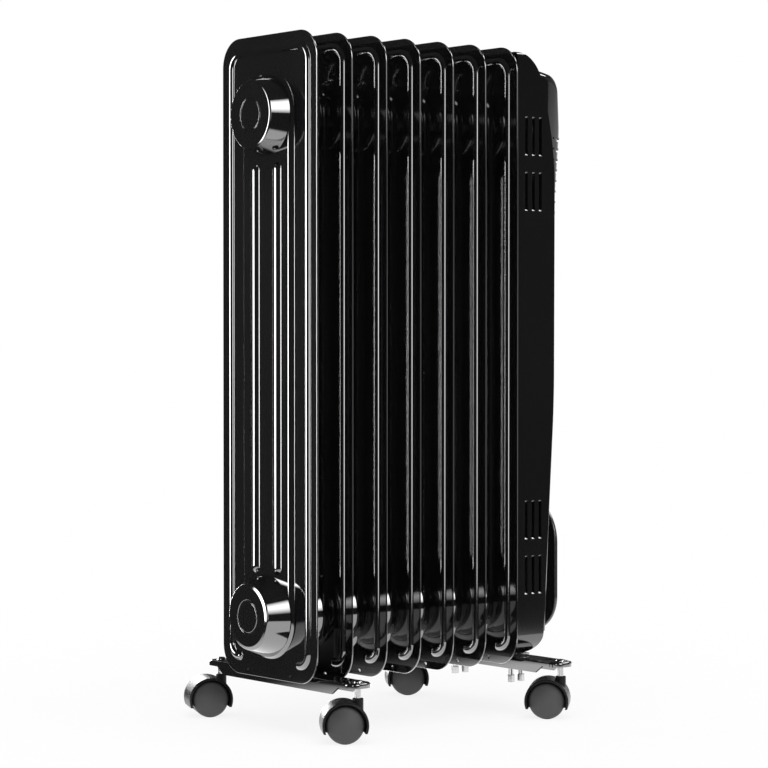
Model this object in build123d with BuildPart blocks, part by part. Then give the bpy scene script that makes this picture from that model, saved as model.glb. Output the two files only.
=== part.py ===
"""Oil filled radiator heater: pressed fins, control housing, foot bars and twin wheel casters.

Millimetres, +Z up. The origin is on the floor, midway between the two foot bars. +X runs from the
end fin towards the control panel and +Y towards the left side, seen from the end fin.
"""
import os
from math import asin, cos, radians, sin, tan

from build123d import *

os.makedirs("parts", exist_ok=True)

# Clearances
running_gap = 0.05      # a shaft that turns in its bore
push_gap = 0.02         # a pin that is pushed into its hole
seat_gap = 0.15         # two mouldings that lie on each other
free_gap = 0.3          # pieces that pass each other

# Fins: two pressed sheets, welded at the rim and at the collectors
fin_count = 7
fin_pitch = 39.7
fin_width = 147.0
fin_height = 592.0
fin_corner = 26.0
fin_bottom = 48.0       # above the floor
sheet = 0.8
bead_width = 8.0
bead_rise = 2.4
bead_inset = 13.7
bead_corner = 15.0
hook_radius = 11.6
hook_lift = 16.5
hook_tail = 2.0
drain_hole = 3.4
drain_spread = 33.0
drain_lift = 4.5

# Oil panel and its ribs
panel_rise = 3.3
panel_draft = 20.0
panel_land = 1.6
rib_width = 13.0
rib_rise = 3.0
rib_spread = 17.0
rib_low_clear = 1.5
rib_high_clear = 8.8

# Collectors
upper_drop = 74.4       # below the fin's top edge
lower_lift = 58.3       # above the fin's bottom edge
upper_neck = 33.0
upper_waist = 31.2
lower_neck = 34.3
lower_waist = 30.0
boss_shoulder = 4.0
boss_wall = 2.0
collector_bore = 22.0

# End caps
cap_wall = 1.5
upper_cap_edge = 1.4
lower_cap_dome = 5.35   # from the boss face to the cap's face
lower_cap_face = 27.7
lower_cap_rim = 31.0
lower_cap_bevel = 2.7
lower_cap_flare = 1.1
cap_ring = 15.0
cap_ring_width = 1.6
cap_ring_depth = 0.6

# Mounting plate and what it carries
plate_gauge = 1.5
plate_top_lift = 42.0
plate_foot = 22.0
cutout_radius = 10.0
cutout_depth = 9.0
cutout_ear = 26.0
tilt_width = 24.0
tilt_height = 34.0
tilt_depth = 16.0
block_width = 44.0
block_height = 18.0
block_depth = 13.0
block_pole = 6.0

# Oil fill plug, element socket and heating element
plug_flange = 25.5
plug_flange_depth = 3.0
plug_spigot = 4.0
plug_hex = 22.0
plug_hex_depth = 7.0
socket_radius = 31.7
element_flange = 28.0
element_flange_depth = 4.0
element_tube = 8.0
element_bend = 9.0
element_end_gap = 12.0
terminal_radius = 2.5
terminal_length = 8.0

# Control housing
housing_side_gap = 5.5
housing_back_gap = 4.5
housing_lift = 8.0
housing_drop = 5.0
housing_wall = 2.5
housing_foot_reach = 37.6
housing_belly_reach = 51.9
housing_belly_lift = 253.0
housing_shoulder_reach = 52.6
housing_shoulder_drop = 106.0
housing_temple_reach = 43.1
housing_temple_drop = 57.0
housing_brow_reach = 28.1
housing_foot_round = 22.0
housing_belly_round = 900.0
housing_shoulder_round = 250.0
housing_temple_round = 300.0
housing_brow_round = 28.0
housing_side_round = 20.0
housing_top_round = 4.0
window_frame = 8.0
window_lift = 45.0
window_drop = 32.0
foot_cutout_clear = 1.5
vent_width = 4.0
vent_length = 34.5
vent_first_reach = 16.2
vent_pitch = 8.85
vent_low_lift = 85.7
vent_high_drop = 85.0
vent_group_pitch = 53.0

# Front panel
fascia_inset = 2.0
fascia_lift = 29.0
fascia_toe_reach = 46.8
fascia_belly_reach = 57.1
fascia_waist_reach = 59.3
fascia_waist_drop = 152.0
fascia_crest_reach = 63.3
fascia_crest_drop = 80.0
fascia_brow_reach = 61.3
fascia_brow_drop = 26.0
fascia_tip_reach = 23.8
fascia_tip_drop = 18.0
fascia_edge = 8.6
fascia_toe_round = 3.0
fascia_belly_round = 900.0
fascia_waist_round = 300.0
fascia_crest_round = 60.0
fascia_brow_round = 18.0
fascia_wall = 2.5
louvre_count = 8
louvre_pitch = 10.3
louvre_height = 2.4
louvre_depth = 5.0
louvre_top_drop = 87.0

# Hand grip
grip_width = 90.0
grip_height = 30.0
grip_drop = 55.0
grip_depth = 23.0
grip_wall = 2.0
grip_corner = 10.0

# Thermostat
knob_drop = 212.0
knob_radius = 22.0
knob_depth = 25.5
knob_taper = 2.0
knob_flutes = 16
knob_flute = 1.6
bezel_radius = 28.0
bezel_depth = 8.0
bezel_chamfer = 2.5
shaft_radius = 3.0
shaft_grip = 14.0
thermostat_size = 34.0
thermostat_depth = 20.0
bush_radius = 6.0
bush_length = 3.0

# Power switches and pilot lamp
switch_drop = 277.0
switch_spread = 17.0
rocker_width = 15.0
rocker_swing = 11.5
rocker_tilt = 8.0
rocker_proud = 3.0
rocker_back = 6.0
rocker_pin = 1.2
switch_wall = 1.2
switch_flange = 2.0
switch_flange_depth = 2.0
switch_depth = 12.0
lamp_drop = 247.0
lamp_radius = 4.0
lamp_flange = 1.2
lamp_proud = 2.5
lamp_stem = 8.0

# Cord gland and cord winder
gland_lift = 195.0
gland_bore = 4.2
gland_wall = 2.3
gland_flange = 9.5
gland_flange_depth = 2.5
gland_nose = 11.0
gland_taper = 3.0
gland_stub = 5.0
winder_half_width = 52.0
winder_low = 25.5
winder_high = 158.0
winder_top_corner = 45.0
winder_low_corner = 35.0
winder_gauge = 4.0
winder_gap = 18.1
winder_edge = 1.5
hub_width = 60.0
hub_height = 70.0
hub_corner = 20.0
screw_spread = 40.0
screw_shank = 1.8
screw_head = 4.0
screw_head_depth = 2.5

# Foot bars
bar_overhang = 41.5
bar_width = 26.0
bar_corner = 10.0
bar_gauge = 2.0
bar_rise = 6.0          # top of the bar above the fin's bottom edge
bar_skirt = 12.0
bar_end_skirt = 5.0
bar_taper_start = 30.0
bar_taper_end = 20.0
bar_slot_inset = 25.0
bar_slot_length = 14.0
bar_slot_width = 5.0

# Ties between the foot bars and the lower collector
rod_radius = 2.5
rod_sink = 0.9
cradle_half_span = 27.0
cradle_toe = 4.0
cradle_toe_height = 3.0
nut_flats = 8.0
nut_height = 4.0
strap_width = 8.0
strap_gauge = 2.0
strap_clear = 0.25
ear_width = 22.0
ear_length = 16.0
stud_spread = 12.6
stud_tip_drop = 20.0    # below the fin's bottom edge
cap_nut_flats = 7.0
cap_nut_height = 7.0

# Casters
stem_inset = 8.0
stem_radius = 3.0
stem_end_height = 18.0
stem_head = 4.5
stem_head_height = 2.0
stem_head_taper = 30.0
caster_trail = 12.5
wheel_radius = 17.2
wheel_tread = 13.6
wheel_round = 3.0
wheel_crown = 0.8
hood_wall = 2.1
hood_well_gap = 1.7
hood_web = 8.0
hood_hem = 10.0
hood_edge = 1.2
hood_boss = 5.0
hood_boss_height = 40.0
axle_radius = 2.0
axle_half_length = 15.5
caster_turns = {"end_left": 65.7, "end_right": 58.1, "front_left": 57.0, "front_right": 44.1}

# Places that follow from the sizes above
boss_reach = fin_pitch / 2
bar_reach = boss_reach + plate_gauge + strap_clear + strap_width / 2
first_fin_x = -(boss_reach + (fin_count - 1) * fin_pitch + bar_reach) / 2
last_fin_x = first_fin_x + (fin_count - 1) * fin_pitch
end_bar_x = first_fin_x + boss_reach
front_bar_x = last_fin_x + bar_reach
fin_top = fin_bottom + fin_height
upper_axis = fin_top - upper_drop
lower_axis = fin_bottom + lower_lift
panel_face = sheet + panel_rise
upper_cap_foot = upper_neck + free_gap + cap_wall
lower_cap_foot = lower_neck + free_gap + cap_wall + lower_cap_flare
panel_top_radius = lower_cap_foot + panel_land - lower_cap_flare
panel_base_radius = panel_top_radius + panel_rise * tan(radians(panel_draft))
boss_face_x = last_fin_x + boss_reach
plate_front_x = boss_face_x + plate_gauge
socket_front_x = plate_front_x + strap_width + 2 * strap_clear
spigot_radius = collector_bore - free_gap
housing_back_x = last_fin_x + housing_back_gap
housing_half = fin_width / 2 - housing_side_gap
housing_bottom = fin_bottom + housing_lift
housing_top = fin_top - housing_drop
fascia_half = housing_half - fascia_inset
fascia_bottom = fin_bottom + fascia_lift
belly_z = fin_bottom + housing_belly_lift
bar_top = fin_bottom + bar_rise
bar_half_length = fin_width / 2 + bar_overhang
stem_y = bar_half_length - stem_inset


def cross_plane(x):
    """Plane across the heater at x, its local axes along Y and Z and its normal along +X."""
    return Plane(origin=(x, 0, 0), x_dir=(0, 1, 0), z_dir=(1, 0, 0))


def ridge_radius(width, rise):
    """Radius of the round ridge that shows this width and rise above a flat sheet."""
    return (width**2 / 4 + rise**2) / (2 * rise)


def face_x(z):
    """X of the front panel's outer face at height z, below its upper knee."""
    if z < belly_z:
        share = (z - fascia_bottom) / (belly_z - fascia_bottom)
        return last_fin_x + fascia_toe_reach + share * (fascia_belly_reach - fascia_toe_reach)
    share = (z - belly_z) / (fin_top - fascia_waist_drop - belly_z)
    return last_fin_x + fascia_belly_reach + share * (fascia_waist_reach - fascia_belly_reach)


# Fin blank: one half is pressed up from the mid-plane, then mirrored
bead_radius = ridge_radius(bead_width, bead_rise)
bead_depth = sheet + bead_rise - bead_radius
bead_y = fin_width / 2 - bead_inset
bead_top = fin_top - bead_inset
hook_z = fin_bottom + hook_lift
hook_end_y = bead_y - hook_radius - hook_tail
rib_radius = ridge_radius(rib_width, rib_rise)
rib_depth = panel_face + rib_rise - rib_radius
rib_low = lower_axis + lower_cap_foot + rib_low_clear + rib_width / 2
rib_high = upper_axis - upper_cap_foot - rib_high_clear - rib_width / 2


def outline_bead():
    """Round bead that follows the fin's edge and hooks inwards at both lower corners."""
    with BuildPart() as bead:
        with BuildLine(cross_plane(bead_depth)) as path:
            FilletPolyline(
                (0, bead_top),
                (bead_y, bead_top),
                (bead_y, hook_z),
                (hook_end_y, hook_z),
                radius=[bead_corner, hook_radius],
            )
        with BuildSketch(Plane(origin=path.line @ 0, z_dir=path.line % 0)):
            Circle(bead_radius)
        sweep()
        with Locations((bead_depth, hook_end_y, hook_z)):
            Sphere(bead_radius)
        mirror(about=Plane.XZ)
    return bead.part


def collector_boss(axis_z, neck, waist):
    """Drawn boss from the fin's mid-plane to the face where it meets the next fin."""
    with BuildPart() as boss:
        with BuildSketch(Plane.XZ):
            with BuildLine():
                Polyline(
                    (boss_reach, axis_z + waist - boss_shoulder),
                    (boss_reach, axis_z),
                    (0, axis_z),
                    (0, axis_z + neck),
                    (panel_face, axis_z + neck),
                    (boss_reach - boss_shoulder, axis_z + waist),
                )
                RadiusArc(
                    (boss_reach - boss_shoulder, axis_z + waist),
                    (boss_reach, axis_z + waist - boss_shoulder),
                    boss_shoulder,
                )
            make_face()
        revolve(axis=Axis((0, 0, axis_z), (1, 0, 0)))
    return boss.part


def collector_hollow(axis_z, neck, waist):
    """Oil space inside a boss, with the bore that opens into the next fin."""
    with BuildPart() as hollow:
        with BuildSketch(Plane.XZ):
            with BuildLine():
                Polyline(
                    (0, axis_z),
                    (0, axis_z + neck - boss_wall),
                    (panel_face, axis_z + neck - boss_wall),
                    (boss_reach - boss_shoulder, axis_z + waist - boss_wall),
                    (boss_reach - boss_wall, axis_z + waist - boss_shoulder),
                    (boss_reach - boss_wall, axis_z + collector_bore),
                    (boss_reach, axis_z + collector_bore),
                    (boss_reach, axis_z),
                    close=True,
                )
            make_face()
        revolve(axis=Axis((0, 0, axis_z), (1, 0, 0)))
    return hollow.part


with BuildPart() as fin_blank:
    with BuildSketch(cross_plane(0)):
        with Locations((0, (fin_bottom + fin_top) / 2)):
            RectangleRounded(fin_width, fin_height, fin_corner)
    extrude(amount=sheet)
    with BuildSketch(cross_plane(sheet)):
        with Locations((0, (lower_axis + upper_axis) / 2)):
            SlotCenterToCenter(upper_axis - lower_axis, 2 * panel_base_radius, rotation=90)
    extrude(amount=panel_rise, taper=panel_draft)
    with BuildSketch(Plane.XY.offset(rib_low)):
        with Locations((rib_depth, -rib_spread), (rib_depth, rib_spread)):
            Circle(rib_radius)
    extrude(amount=rib_high - rib_low)
    for rib_y in (-rib_spread, rib_spread):
        with Locations((rib_depth, rib_y, rib_low), (rib_depth, rib_y, rib_high)):
            Sphere(rib_radius)
    add(outline_bead())
    add(collector_boss(upper_axis, upper_neck, upper_waist))
    add(collector_boss(lower_axis, lower_neck, lower_waist))
    with BuildSketch(cross_plane(0)):
        with Locations((0, (lower_axis + upper_axis) / 2)):
            SlotCenterToCenter(upper_axis - lower_axis, 2 * (panel_top_radius - sheet), rotation=90)
    extrude(amount=panel_rise, mode=Mode.SUBTRACT)
    add(collector_hollow(upper_axis, upper_neck, upper_waist), mode=Mode.SUBTRACT)
    add(collector_hollow(lower_axis, lower_neck, lower_waist), mode=Mode.SUBTRACT)
    with BuildSketch(cross_plane(0)):
        with Locations((-drain_spread, fin_bottom + drain_lift), (drain_spread, fin_bottom + drain_lift)):
            Circle(drain_hole / 2)
    extrude(amount=sheet, mode=Mode.SUBTRACT)
    split(bisect_by=Plane.YZ)
    mirror(about=Plane.YZ)

for fin_index in range(fin_count):
    fin_name = f"fin_{fin_index + 1}"
    with BuildPart() as fin:
        with Locations((first_fin_x + fin_index * fin_pitch, 0, 0)):
            add(fin_blank.part)
    fin.part.label = fin_name
    export_step(fin.part, f"parts/{fin_name}.step")

# Upper end cap: a shallow cup over the end fin's upper boss
cap_seat_x = first_fin_x - panel_face
end_boss_x = first_fin_x - boss_reach
upper_cap_x = end_boss_x - free_gap - cap_wall
upper_cap_rim = upper_waist + free_gap + cap_wall

with BuildPart() as upper_end_cap:
    with BuildSketch(Plane.XZ):
        with BuildLine():
            Polyline(
                (cap_seat_x, upper_axis + upper_cap_foot - cap_wall),
                (cap_seat_x, upper_axis + upper_cap_foot),
                (upper_cap_x + upper_cap_edge, upper_axis + upper_cap_rim),
                (upper_cap_x, upper_axis + upper_cap_rim - upper_cap_edge),
                (upper_cap_x, upper_axis),
                (upper_cap_x + cap_wall, upper_axis),
                (upper_cap_x + cap_wall, upper_axis + upper_cap_rim - cap_wall),
                close=True,
            )
        make_face()
    revolve(axis=Axis((0, 0, upper_axis), (1, 0, 0)))
    with BuildSketch(cross_plane(upper_cap_x)):
        with Locations((0, upper_axis)):
            Circle(cap_ring + cap_ring_width / 2)
            Circle(cap_ring - cap_ring_width / 2, mode=Mode.SUBTRACT)
    extrude(amount=cap_ring_depth, mode=Mode.SUBTRACT)
upper_end_cap.part.label = "upper_end_cap"
export_step(upper_end_cap.part, "parts/upper_end_cap.step")

# Lower end cap: a deeper cone with a bevelled face
lower_cap_x = end_boss_x - lower_cap_dome

with BuildPart() as lower_end_cap:
    with BuildSketch(Plane.XZ):
        with BuildLine():
            Polyline(
                (cap_seat_x, lower_axis + lower_cap_foot - cap_wall),
                (cap_seat_x, lower_axis + lower_cap_foot),
                (lower_cap_x + lower_cap_bevel, lower_axis + lower_cap_rim),
                (lower_cap_x, lower_axis + lower_cap_face),
                (lower_cap_x, lower_axis),
                (lower_cap_x + cap_wall, lower_axis),
                (lower_cap_x + cap_wall, lower_axis + lower_cap_face - cap_wall / 2),
                (lower_cap_x + lower_cap_bevel + cap_wall / 2, lower_axis + lower_cap_rim - cap_wall),
                close=True,
            )
        make_face()
    revolve(axis=Axis((0, 0, lower_axis), (1, 0, 0)))
    with BuildSketch(cross_plane(lower_cap_x)):
        with Locations((0, lower_axis)):
            Circle(cap_ring + cap_ring_width / 2)
            Circle(cap_ring - cap_ring_width / 2, mode=Mode.SUBTRACT)
    extrude(amount=cap_ring_depth, mode=Mode.SUBTRACT)
lower_end_cap.part.label = "lower_end_cap"
export_step(lower_end_cap.part, "parts/lower_end_cap.step")

# Mounting plate: clamped between the last fin's bosses and the plug and socket
plate_half = housing_half - housing_wall - free_gap
plate_low = fin_bottom + plate_foot
plate_high = upper_axis + plate_top_lift
cutout_y = plate_half / 2
tilt_y = -plate_half / 2
block_y = plate_half / 3

with BuildPart() as mounting_plate:
    with BuildSketch(cross_plane(boss_face_x)):
        with Locations((0, (plate_low + plate_high) / 2)):
            Rectangle(2 * plate_half, plate_high - plate_low)
        chamfer(vertices().group_by(Axis.Y)[0], housing_side_round)
        with Locations((0, upper_axis), (0, lower_axis)):
            Circle(collector_bore + push_gap, mode=Mode.SUBTRACT)
    extrude(amount=plate_gauge)
mounting_plate.part.label = "mounting_plate"
export_step(mounting_plate.part, "parts/mounting_plate.step")

# Oil fill plug: screwed into the last fin's upper boss
with BuildPart() as oil_fill_plug:
    with BuildSketch(cross_plane(plate_front_x)):
        with Locations((0, upper_axis)):
            Circle(plug_flange)
    extrude(amount=plug_flange_depth)
    with BuildSketch(cross_plane(plate_front_x)):
        with Locations((0, upper_axis)):
            Circle(spigot_radius)
    extrude(amount=-plug_spigot)
    with BuildSketch(cross_plane(plate_front_x + plug_flange_depth)):
        with Locations((0, upper_axis)):
            RegularPolygon(plug_hex / 2, 6, major_radius=False)
    extrude(amount=plug_hex_depth)
oil_fill_plug.part.label = "oil_fill_plug"
export_step(oil_fill_plug.part, "parts/oil_fill_plug.step")

# Element socket: a ring on the last fin's lower boss
with BuildPart() as element_socket:
    with BuildSketch(cross_plane(plate_front_x)):
        with Locations((0, lower_axis)):
            Circle(socket_radius)
            Circle(collector_bore, mode=Mode.SUBTRACT)
    extrude(amount=socket_front_x - plate_front_x)
element_socket.part.label = "element_socket"
export_step(element_socket.part, "parts/element_socket.step")

# Heating element: a hairpin tube that runs through the lower collector
element_end_x = first_fin_x + element_end_gap + element_bend

with BuildPart() as heating_element:
    with BuildSketch(cross_plane(socket_front_x)):
        with Locations((0, lower_axis)):
            Circle(element_flange)
    extrude(amount=element_flange_depth)
    with BuildLine(Plane.XZ) as hairpin:
        Line((socket_front_x, lower_axis + element_bend), (element_end_x, lower_axis + element_bend))
        ThreePointArc(
            (element_end_x, lower_axis + element_bend),
            (element_end_x - element_bend, lower_axis),
            (element_end_x, lower_axis - element_bend),
        )
        Line((element_end_x, lower_axis - element_bend), (socket_front_x, lower_axis - element_bend))
    with BuildSketch(Plane(origin=hairpin.line @ 0, z_dir=hairpin.line % 0)):
        Circle(element_tube / 2)
    sweep()
    with BuildSketch(cross_plane(socket_front_x + element_flange_depth)):
        with Locations((0, lower_axis + element_bend), (0, lower_axis - element_bend)):
            Circle(terminal_radius)
    extrude(amount=terminal_length)
heating_element.part.label = "heating_element"
export_step(heating_element.part, "parts/heating_element.step")

# Thermal cut-out: a round thermostat disc with two fixing ears
with BuildPart() as thermal_cutout:
    with BuildSketch(cross_plane(plate_front_x)):
        with Locations((cutout_y, (lower_axis + upper_axis) / 2)):
            SlotCenterToCenter(cutout_ear, cutout_radius)
    extrude(amount=plate_gauge)
    with BuildSketch(cross_plane(plate_front_x + plate_gauge)):
        with Locations((cutout_y, (lower_axis + upper_axis) / 2)):
            Circle(cutout_radius)
    extrude(amount=cutout_depth)
thermal_cutout.part.label = "thermal_cutout"
export_step(thermal_cutout.part, "parts/thermal_cutout.step")

# Tilt switch: a small box with a flanged back
tilt_z = (2 * lower_axis + upper_axis) / 3

with BuildPart() as tilt_switch:
    with BuildSketch(cross_plane(plate_front_x)):
        with Locations((tilt_y, tilt_z)):
            RectangleRounded(tilt_width, tilt_height, plate_gauge)
    extrude(amount=plate_gauge)
    with BuildSketch(cross_plane(plate_front_x + plate_gauge)):
        with Locations((tilt_y, tilt_z)):
            RectangleRounded(tilt_width - 2 * plate_gauge, tilt_height - 4 * plate_gauge, plate_gauge)
    extrude(amount=tilt_depth)
tilt_switch.part.label = "tilt_switch"
export_step(tilt_switch.part, "parts/tilt_switch.step")

# Terminal block: three screw poles in a row
with BuildPart() as terminal_block:
    with BuildSketch(cross_plane(plate_front_x)):
        with Locations((block_y, tilt_z)):
            RectangleRounded(block_width, block_height, plate_gauge)
    extrude(amount=block_depth)
    with BuildSketch(cross_plane(plate_front_x + block_depth)):
        with Locations((block_y, tilt_z)):
            with GridLocations(block_width / 3, block_height, 3, 1):
                Circle(block_pole / 2)
    extrude(amount=-block_depth / 2, mode=Mode.SUBTRACT)
terminal_block.part.label = "terminal_block"
export_step(terminal_block.part, "parts/terminal_block.step")


# Control housing: roof, floor and side walls in one moulding, open towards the fins
def housing_section(x, inset):
    """Cross section of the housing at x, drawn in by inset, with its rounded lower and upper edges."""
    with BuildSketch(cross_plane(x)) as section:
        with Locations((0, (housing_bottom + housing_top) / 2)):
            Rectangle(2 * (housing_half - inset), housing_top - housing_bottom - 2 * inset)
        fillet(section.vertices().group_by(Axis.Y)[0], housing_side_round - inset)
        fillet(section.vertices().group_by(Axis.Y)[-1], housing_top_round - inset)
    return section.sketch


def housing_block(inset):
    """Solid bounded by the housing's outer faces, drawn in by inset."""
    with BuildPart() as block:
        with BuildSketch(Plane.XZ):
            with BuildLine():
                FilletPolyline(
                    (housing_back_x, housing_bottom),
                    (last_fin_x + housing_foot_reach, housing_bottom),
                    (last_fin_x + housing_belly_reach, belly_z),
                    (last_fin_x + housing_shoulder_reach, fin_top - housing_shoulder_drop),
                    (last_fin_x + housing_temple_reach, fin_top - housing_temple_drop),
                    (last_fin_x + housing_brow_reach, housing_top),
                    (housing_back_x, housing_top),
                    radius=[
                        housing_foot_round,
                        housing_belly_round,
                        housing_shoulder_round,
                        housing_temple_round,
                        housing_brow_round,
                    ],
                )
                Line((housing_back_x, housing_top), (housing_back_x, housing_bottom))
            make_face()
            offset(amount=-inset, kind=Kind.INTERSECTION)
        extrude(amount=housing_half - inset, both=True)
        extrude(housing_section(housing_back_x + inset, inset), fascia_crest_reach, mode=Mode.INTERSECT)
    return block.part


window_low = fin_bottom + window_lift
window_high = fin_top - window_drop
strap_cutout_half = socket_radius + free_gap + strap_gauge + foot_cutout_clear
strap_cutout_reach = bar_reach + strap_width / 2 + foot_cutout_clear - housing_back_gap
ear_cutout_half = strap_cutout_half + ear_length
ear_cutout_reach = bar_reach + ear_width / 2 + foot_cutout_clear - housing_back_gap
vent_low = fin_bottom + vent_low_lift
vent_high = fin_top - vent_high_drop
vent_rows = (vent_low, vent_low + vent_group_pitch, vent_high - vent_group_pitch, vent_high)
vent_columns = [last_fin_x + vent_first_reach + column * vent_pitch for column in range(3)]

with BuildPart() as control_housing:
    add(housing_block(0))
    add(housing_block(housing_wall), mode=Mode.SUBTRACT)
    extrude(housing_section(housing_back_x, housing_wall), housing_wall, mode=Mode.SUBTRACT)
    with BuildSketch(cross_plane(last_fin_x + fascia_tip_reach)):
        with Locations((0, (window_low + window_high) / 2)):
            Rectangle(2 * (fascia_half - window_frame), window_high - window_low)
    extrude(amount=fascia_crest_reach, mode=Mode.SUBTRACT)
    with BuildSketch(Plane.XY.offset(housing_bottom)):
        with Locations((housing_back_x, 0)):
            Rectangle(2 * ear_cutout_reach, 2 * ear_cutout_half)
    extrude(amount=housing_wall + foot_cutout_clear, mode=Mode.SUBTRACT)
    with BuildSketch(Plane.XY.offset(housing_bottom)):
        with Locations((housing_back_x, 0)):
            Rectangle(2 * strap_cutout_reach, 2 * strap_cutout_half)
    extrude(amount=housing_foot_round, mode=Mode.SUBTRACT)
    with BuildSketch(Plane.XZ):
        with Locations([(vent_x, vent_z) for vent_x in vent_columns for vent_z in vent_rows]):
            SlotOverall(vent_length, vent_width, rotation=90)
    extrude(amount=housing_half, both=True, mode=Mode.SUBTRACT)
control_housing.part.label = "control_housing"
export_step(control_housing.part, "parts/control_housing.step")


# Front panel: one moulding that lies on the housing's window frame
def fascia_block(inset):
    """Solid bounded by the front panel's outer faces, drawn in by inset."""
    tip_x = last_fin_x + fascia_tip_reach
    with BuildPart() as block:
        with BuildSketch(Plane.XZ):
            with BuildLine():
                FilletPolyline(
                    (tip_x, fascia_bottom),
                    (last_fin_x + fascia_toe_reach, fascia_bottom),
                    (last_fin_x + fascia_belly_reach, belly_z),
                    (last_fin_x + fascia_waist_reach, fin_top - fascia_waist_drop),
                    (last_fin_x + fascia_crest_reach, fin_top - fascia_crest_drop),
                    (last_fin_x + fascia_brow_reach, fin_top - fascia_brow_drop),
                    (tip_x, fin_top - fascia_tip_drop),
                    radius=[
                        fascia_toe_round, fascia_belly_round, fascia_waist_round, fascia_crest_round, fascia_brow_round
                    ],
                )
                Line((tip_x, fin_top - fascia_tip_drop), (tip_x, fascia_bottom))
            make_face()
            offset(amount=-inset, kind=Kind.INTERSECTION)
        extrude(amount=fascia_half - inset, both=True)
        sides = block.faces().filter_by(Axis.Y)
        front_edges = [
            edge
            for edge in sides.edges()
            if edge.center().X > tip_x + 2 * fascia_wall and edge.center().Z > fascia_bottom + 2 * fascia_wall
        ]
        fillet(front_edges, fascia_edge - inset)
    return block.part


knob_z = fin_top - knob_drop
knob_face_x = face_x(knob_z)
switch_z = fin_top - switch_drop
switch_face_x = face_x(switch_z)
lamp_z = fin_top - lamp_drop
lamp_face_x = face_x(lamp_z)
gland_z = fin_bottom + gland_lift
gland_face_x = face_x(gland_z)
gland_radius = gland_bore + gland_wall
grip_z = fin_top - grip_drop
winder_z = fin_bottom + (winder_low + winder_high) / 2
winder_back_x = face_x(winder_z) + winder_gap
winder_face_x = winder_back_x + winder_gauge
switch_half_width = rocker_width / 2 + free_gap + switch_wall
switch_half_height = rocker_swing + free_gap + switch_wall
screw_places = [(0, winder_z - screw_spread / 2), (0, winder_z + screw_spread / 2)]
through_depth = winder_face_x - last_fin_x

with BuildPart() as front_panel:
    add(fascia_block(0))
    add(fascia_block(fascia_wall), mode=Mode.SUBTRACT)
    add(housing_block(-seat_gap), mode=Mode.SUBTRACT)
    with BuildSketch(cross_plane(last_fin_x + fascia_waist_reach - louvre_depth)):
        louvre_mid = fin_top - louvre_top_drop - louvre_pitch * (louvre_count - 1) / 2
        with Locations((0, louvre_mid)):
            with GridLocations(fascia_half, louvre_pitch, 1, louvre_count):
                Rectangle(2 * fascia_half, louvre_height)
    extrude(amount=through_depth, mode=Mode.SUBTRACT)
    with BuildSketch(cross_plane(housing_back_x)):
        with Locations((0, grip_z)):
            RectangleRounded(grip_width, grip_height, grip_corner)
        with Locations((0, knob_z)):
            Circle(bush_radius + free_gap)
        with Locations((0, lamp_z)):
            Circle(lamp_radius + push_gap)
        with Locations((-switch_spread, switch_z), (switch_spread, switch_z)):
            Rectangle(2 * (switch_half_width + push_gap), 2 * (switch_half_height + push_gap))
        with Locations((0, gland_z)):
            Circle(gland_radius + push_gap)
        with Locations(screw_places):
            Circle(screw_shank + push_gap)
    extrude(amount=through_depth, mode=Mode.SUBTRACT)
front_panel.part.label = "front_panel"
export_step(front_panel.part, "parts/front_panel.step")

# Hand grip: a cup behind the opening at the top of the panel
with BuildPart() as grip_cup:
    grip_back_x = last_fin_x + fascia_brow_reach - grip_depth
    with BuildSketch(cross_plane(grip_back_x)):
        with Locations((0, grip_z)):
            RectangleRounded(grip_width + 2 * grip_wall, grip_height + 2 * grip_wall, grip_corner + grip_wall)
    extrude(amount=through_depth)
    add(fascia_block(fascia_wall + seat_gap), mode=Mode.INTERSECT)
    with BuildSketch(cross_plane(grip_back_x + grip_wall)):
        with Locations((0, grip_z)):
            RectangleRounded(grip_width, grip_height, grip_corner)
    extrude(amount=through_depth, mode=Mode.SUBTRACT)
grip_cup.part.label = "grip_cup"
export_step(grip_cup.part, "parts/grip_cup.step")

# Thermostat body: a box behind the panel with a bush for the shaft
thermostat_front_x = knob_face_x - fascia_wall - bush_length
thermostat_back_x = thermostat_front_x - thermostat_depth

with BuildPart() as thermostat_body:
    with BuildSketch(cross_plane(thermostat_back_x)):
        with Locations((0, knob_z)):
            RectangleRounded(thermostat_size, thermostat_size, bush_length)
    extrude(amount=thermostat_depth)
    with BuildSketch(cross_plane(thermostat_front_x)):
        with Locations((0, knob_z)):
            Circle(bush_radius)
    extrude(amount=bush_length + fascia_wall - free_gap)
    with BuildSketch(cross_plane(thermostat_back_x + thermostat_depth / 2)):
        with Locations((0, knob_z)):
            Circle(shaft_radius + running_gap)
    extrude(amount=through_depth, mode=Mode.SUBTRACT)
thermostat_body.part.label = "thermostat_body"
export_step(thermostat_body.part, "parts/thermostat_body.step")

# Dial ring: lies on the panel round the thermostat's shaft
bezel_front_x = knob_face_x + bezel_depth

with BuildPart() as dial_ring:
    with BuildSketch(cross_plane(knob_face_x - fascia_wall)):
        with Locations((0, knob_z)):
            Circle(bezel_radius)
            Circle(bush_radius, mode=Mode.SUBTRACT)
    extrude(amount=bezel_depth + fascia_wall)
    rim_edges = dial_ring.faces().sort_by(Axis.X)[-1].edges().sort_by(SortBy.RADIUS)[-1]
    chamfer(rim_edges, bezel_chamfer)
    add(fascia_block(-seat_gap / 2), mode=Mode.SUBTRACT)
dial_ring.part.label = "dial_ring"
export_step(dial_ring.part, "parts/dial_ring.step")

# Thermostat shaft and knob: one body that turns
knob_back_x = bezel_front_x + free_gap
knob_tip_x = knob_back_x + knob_depth
shaft_back_x = thermostat_back_x + thermostat_depth / 2 + free_gap

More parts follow.
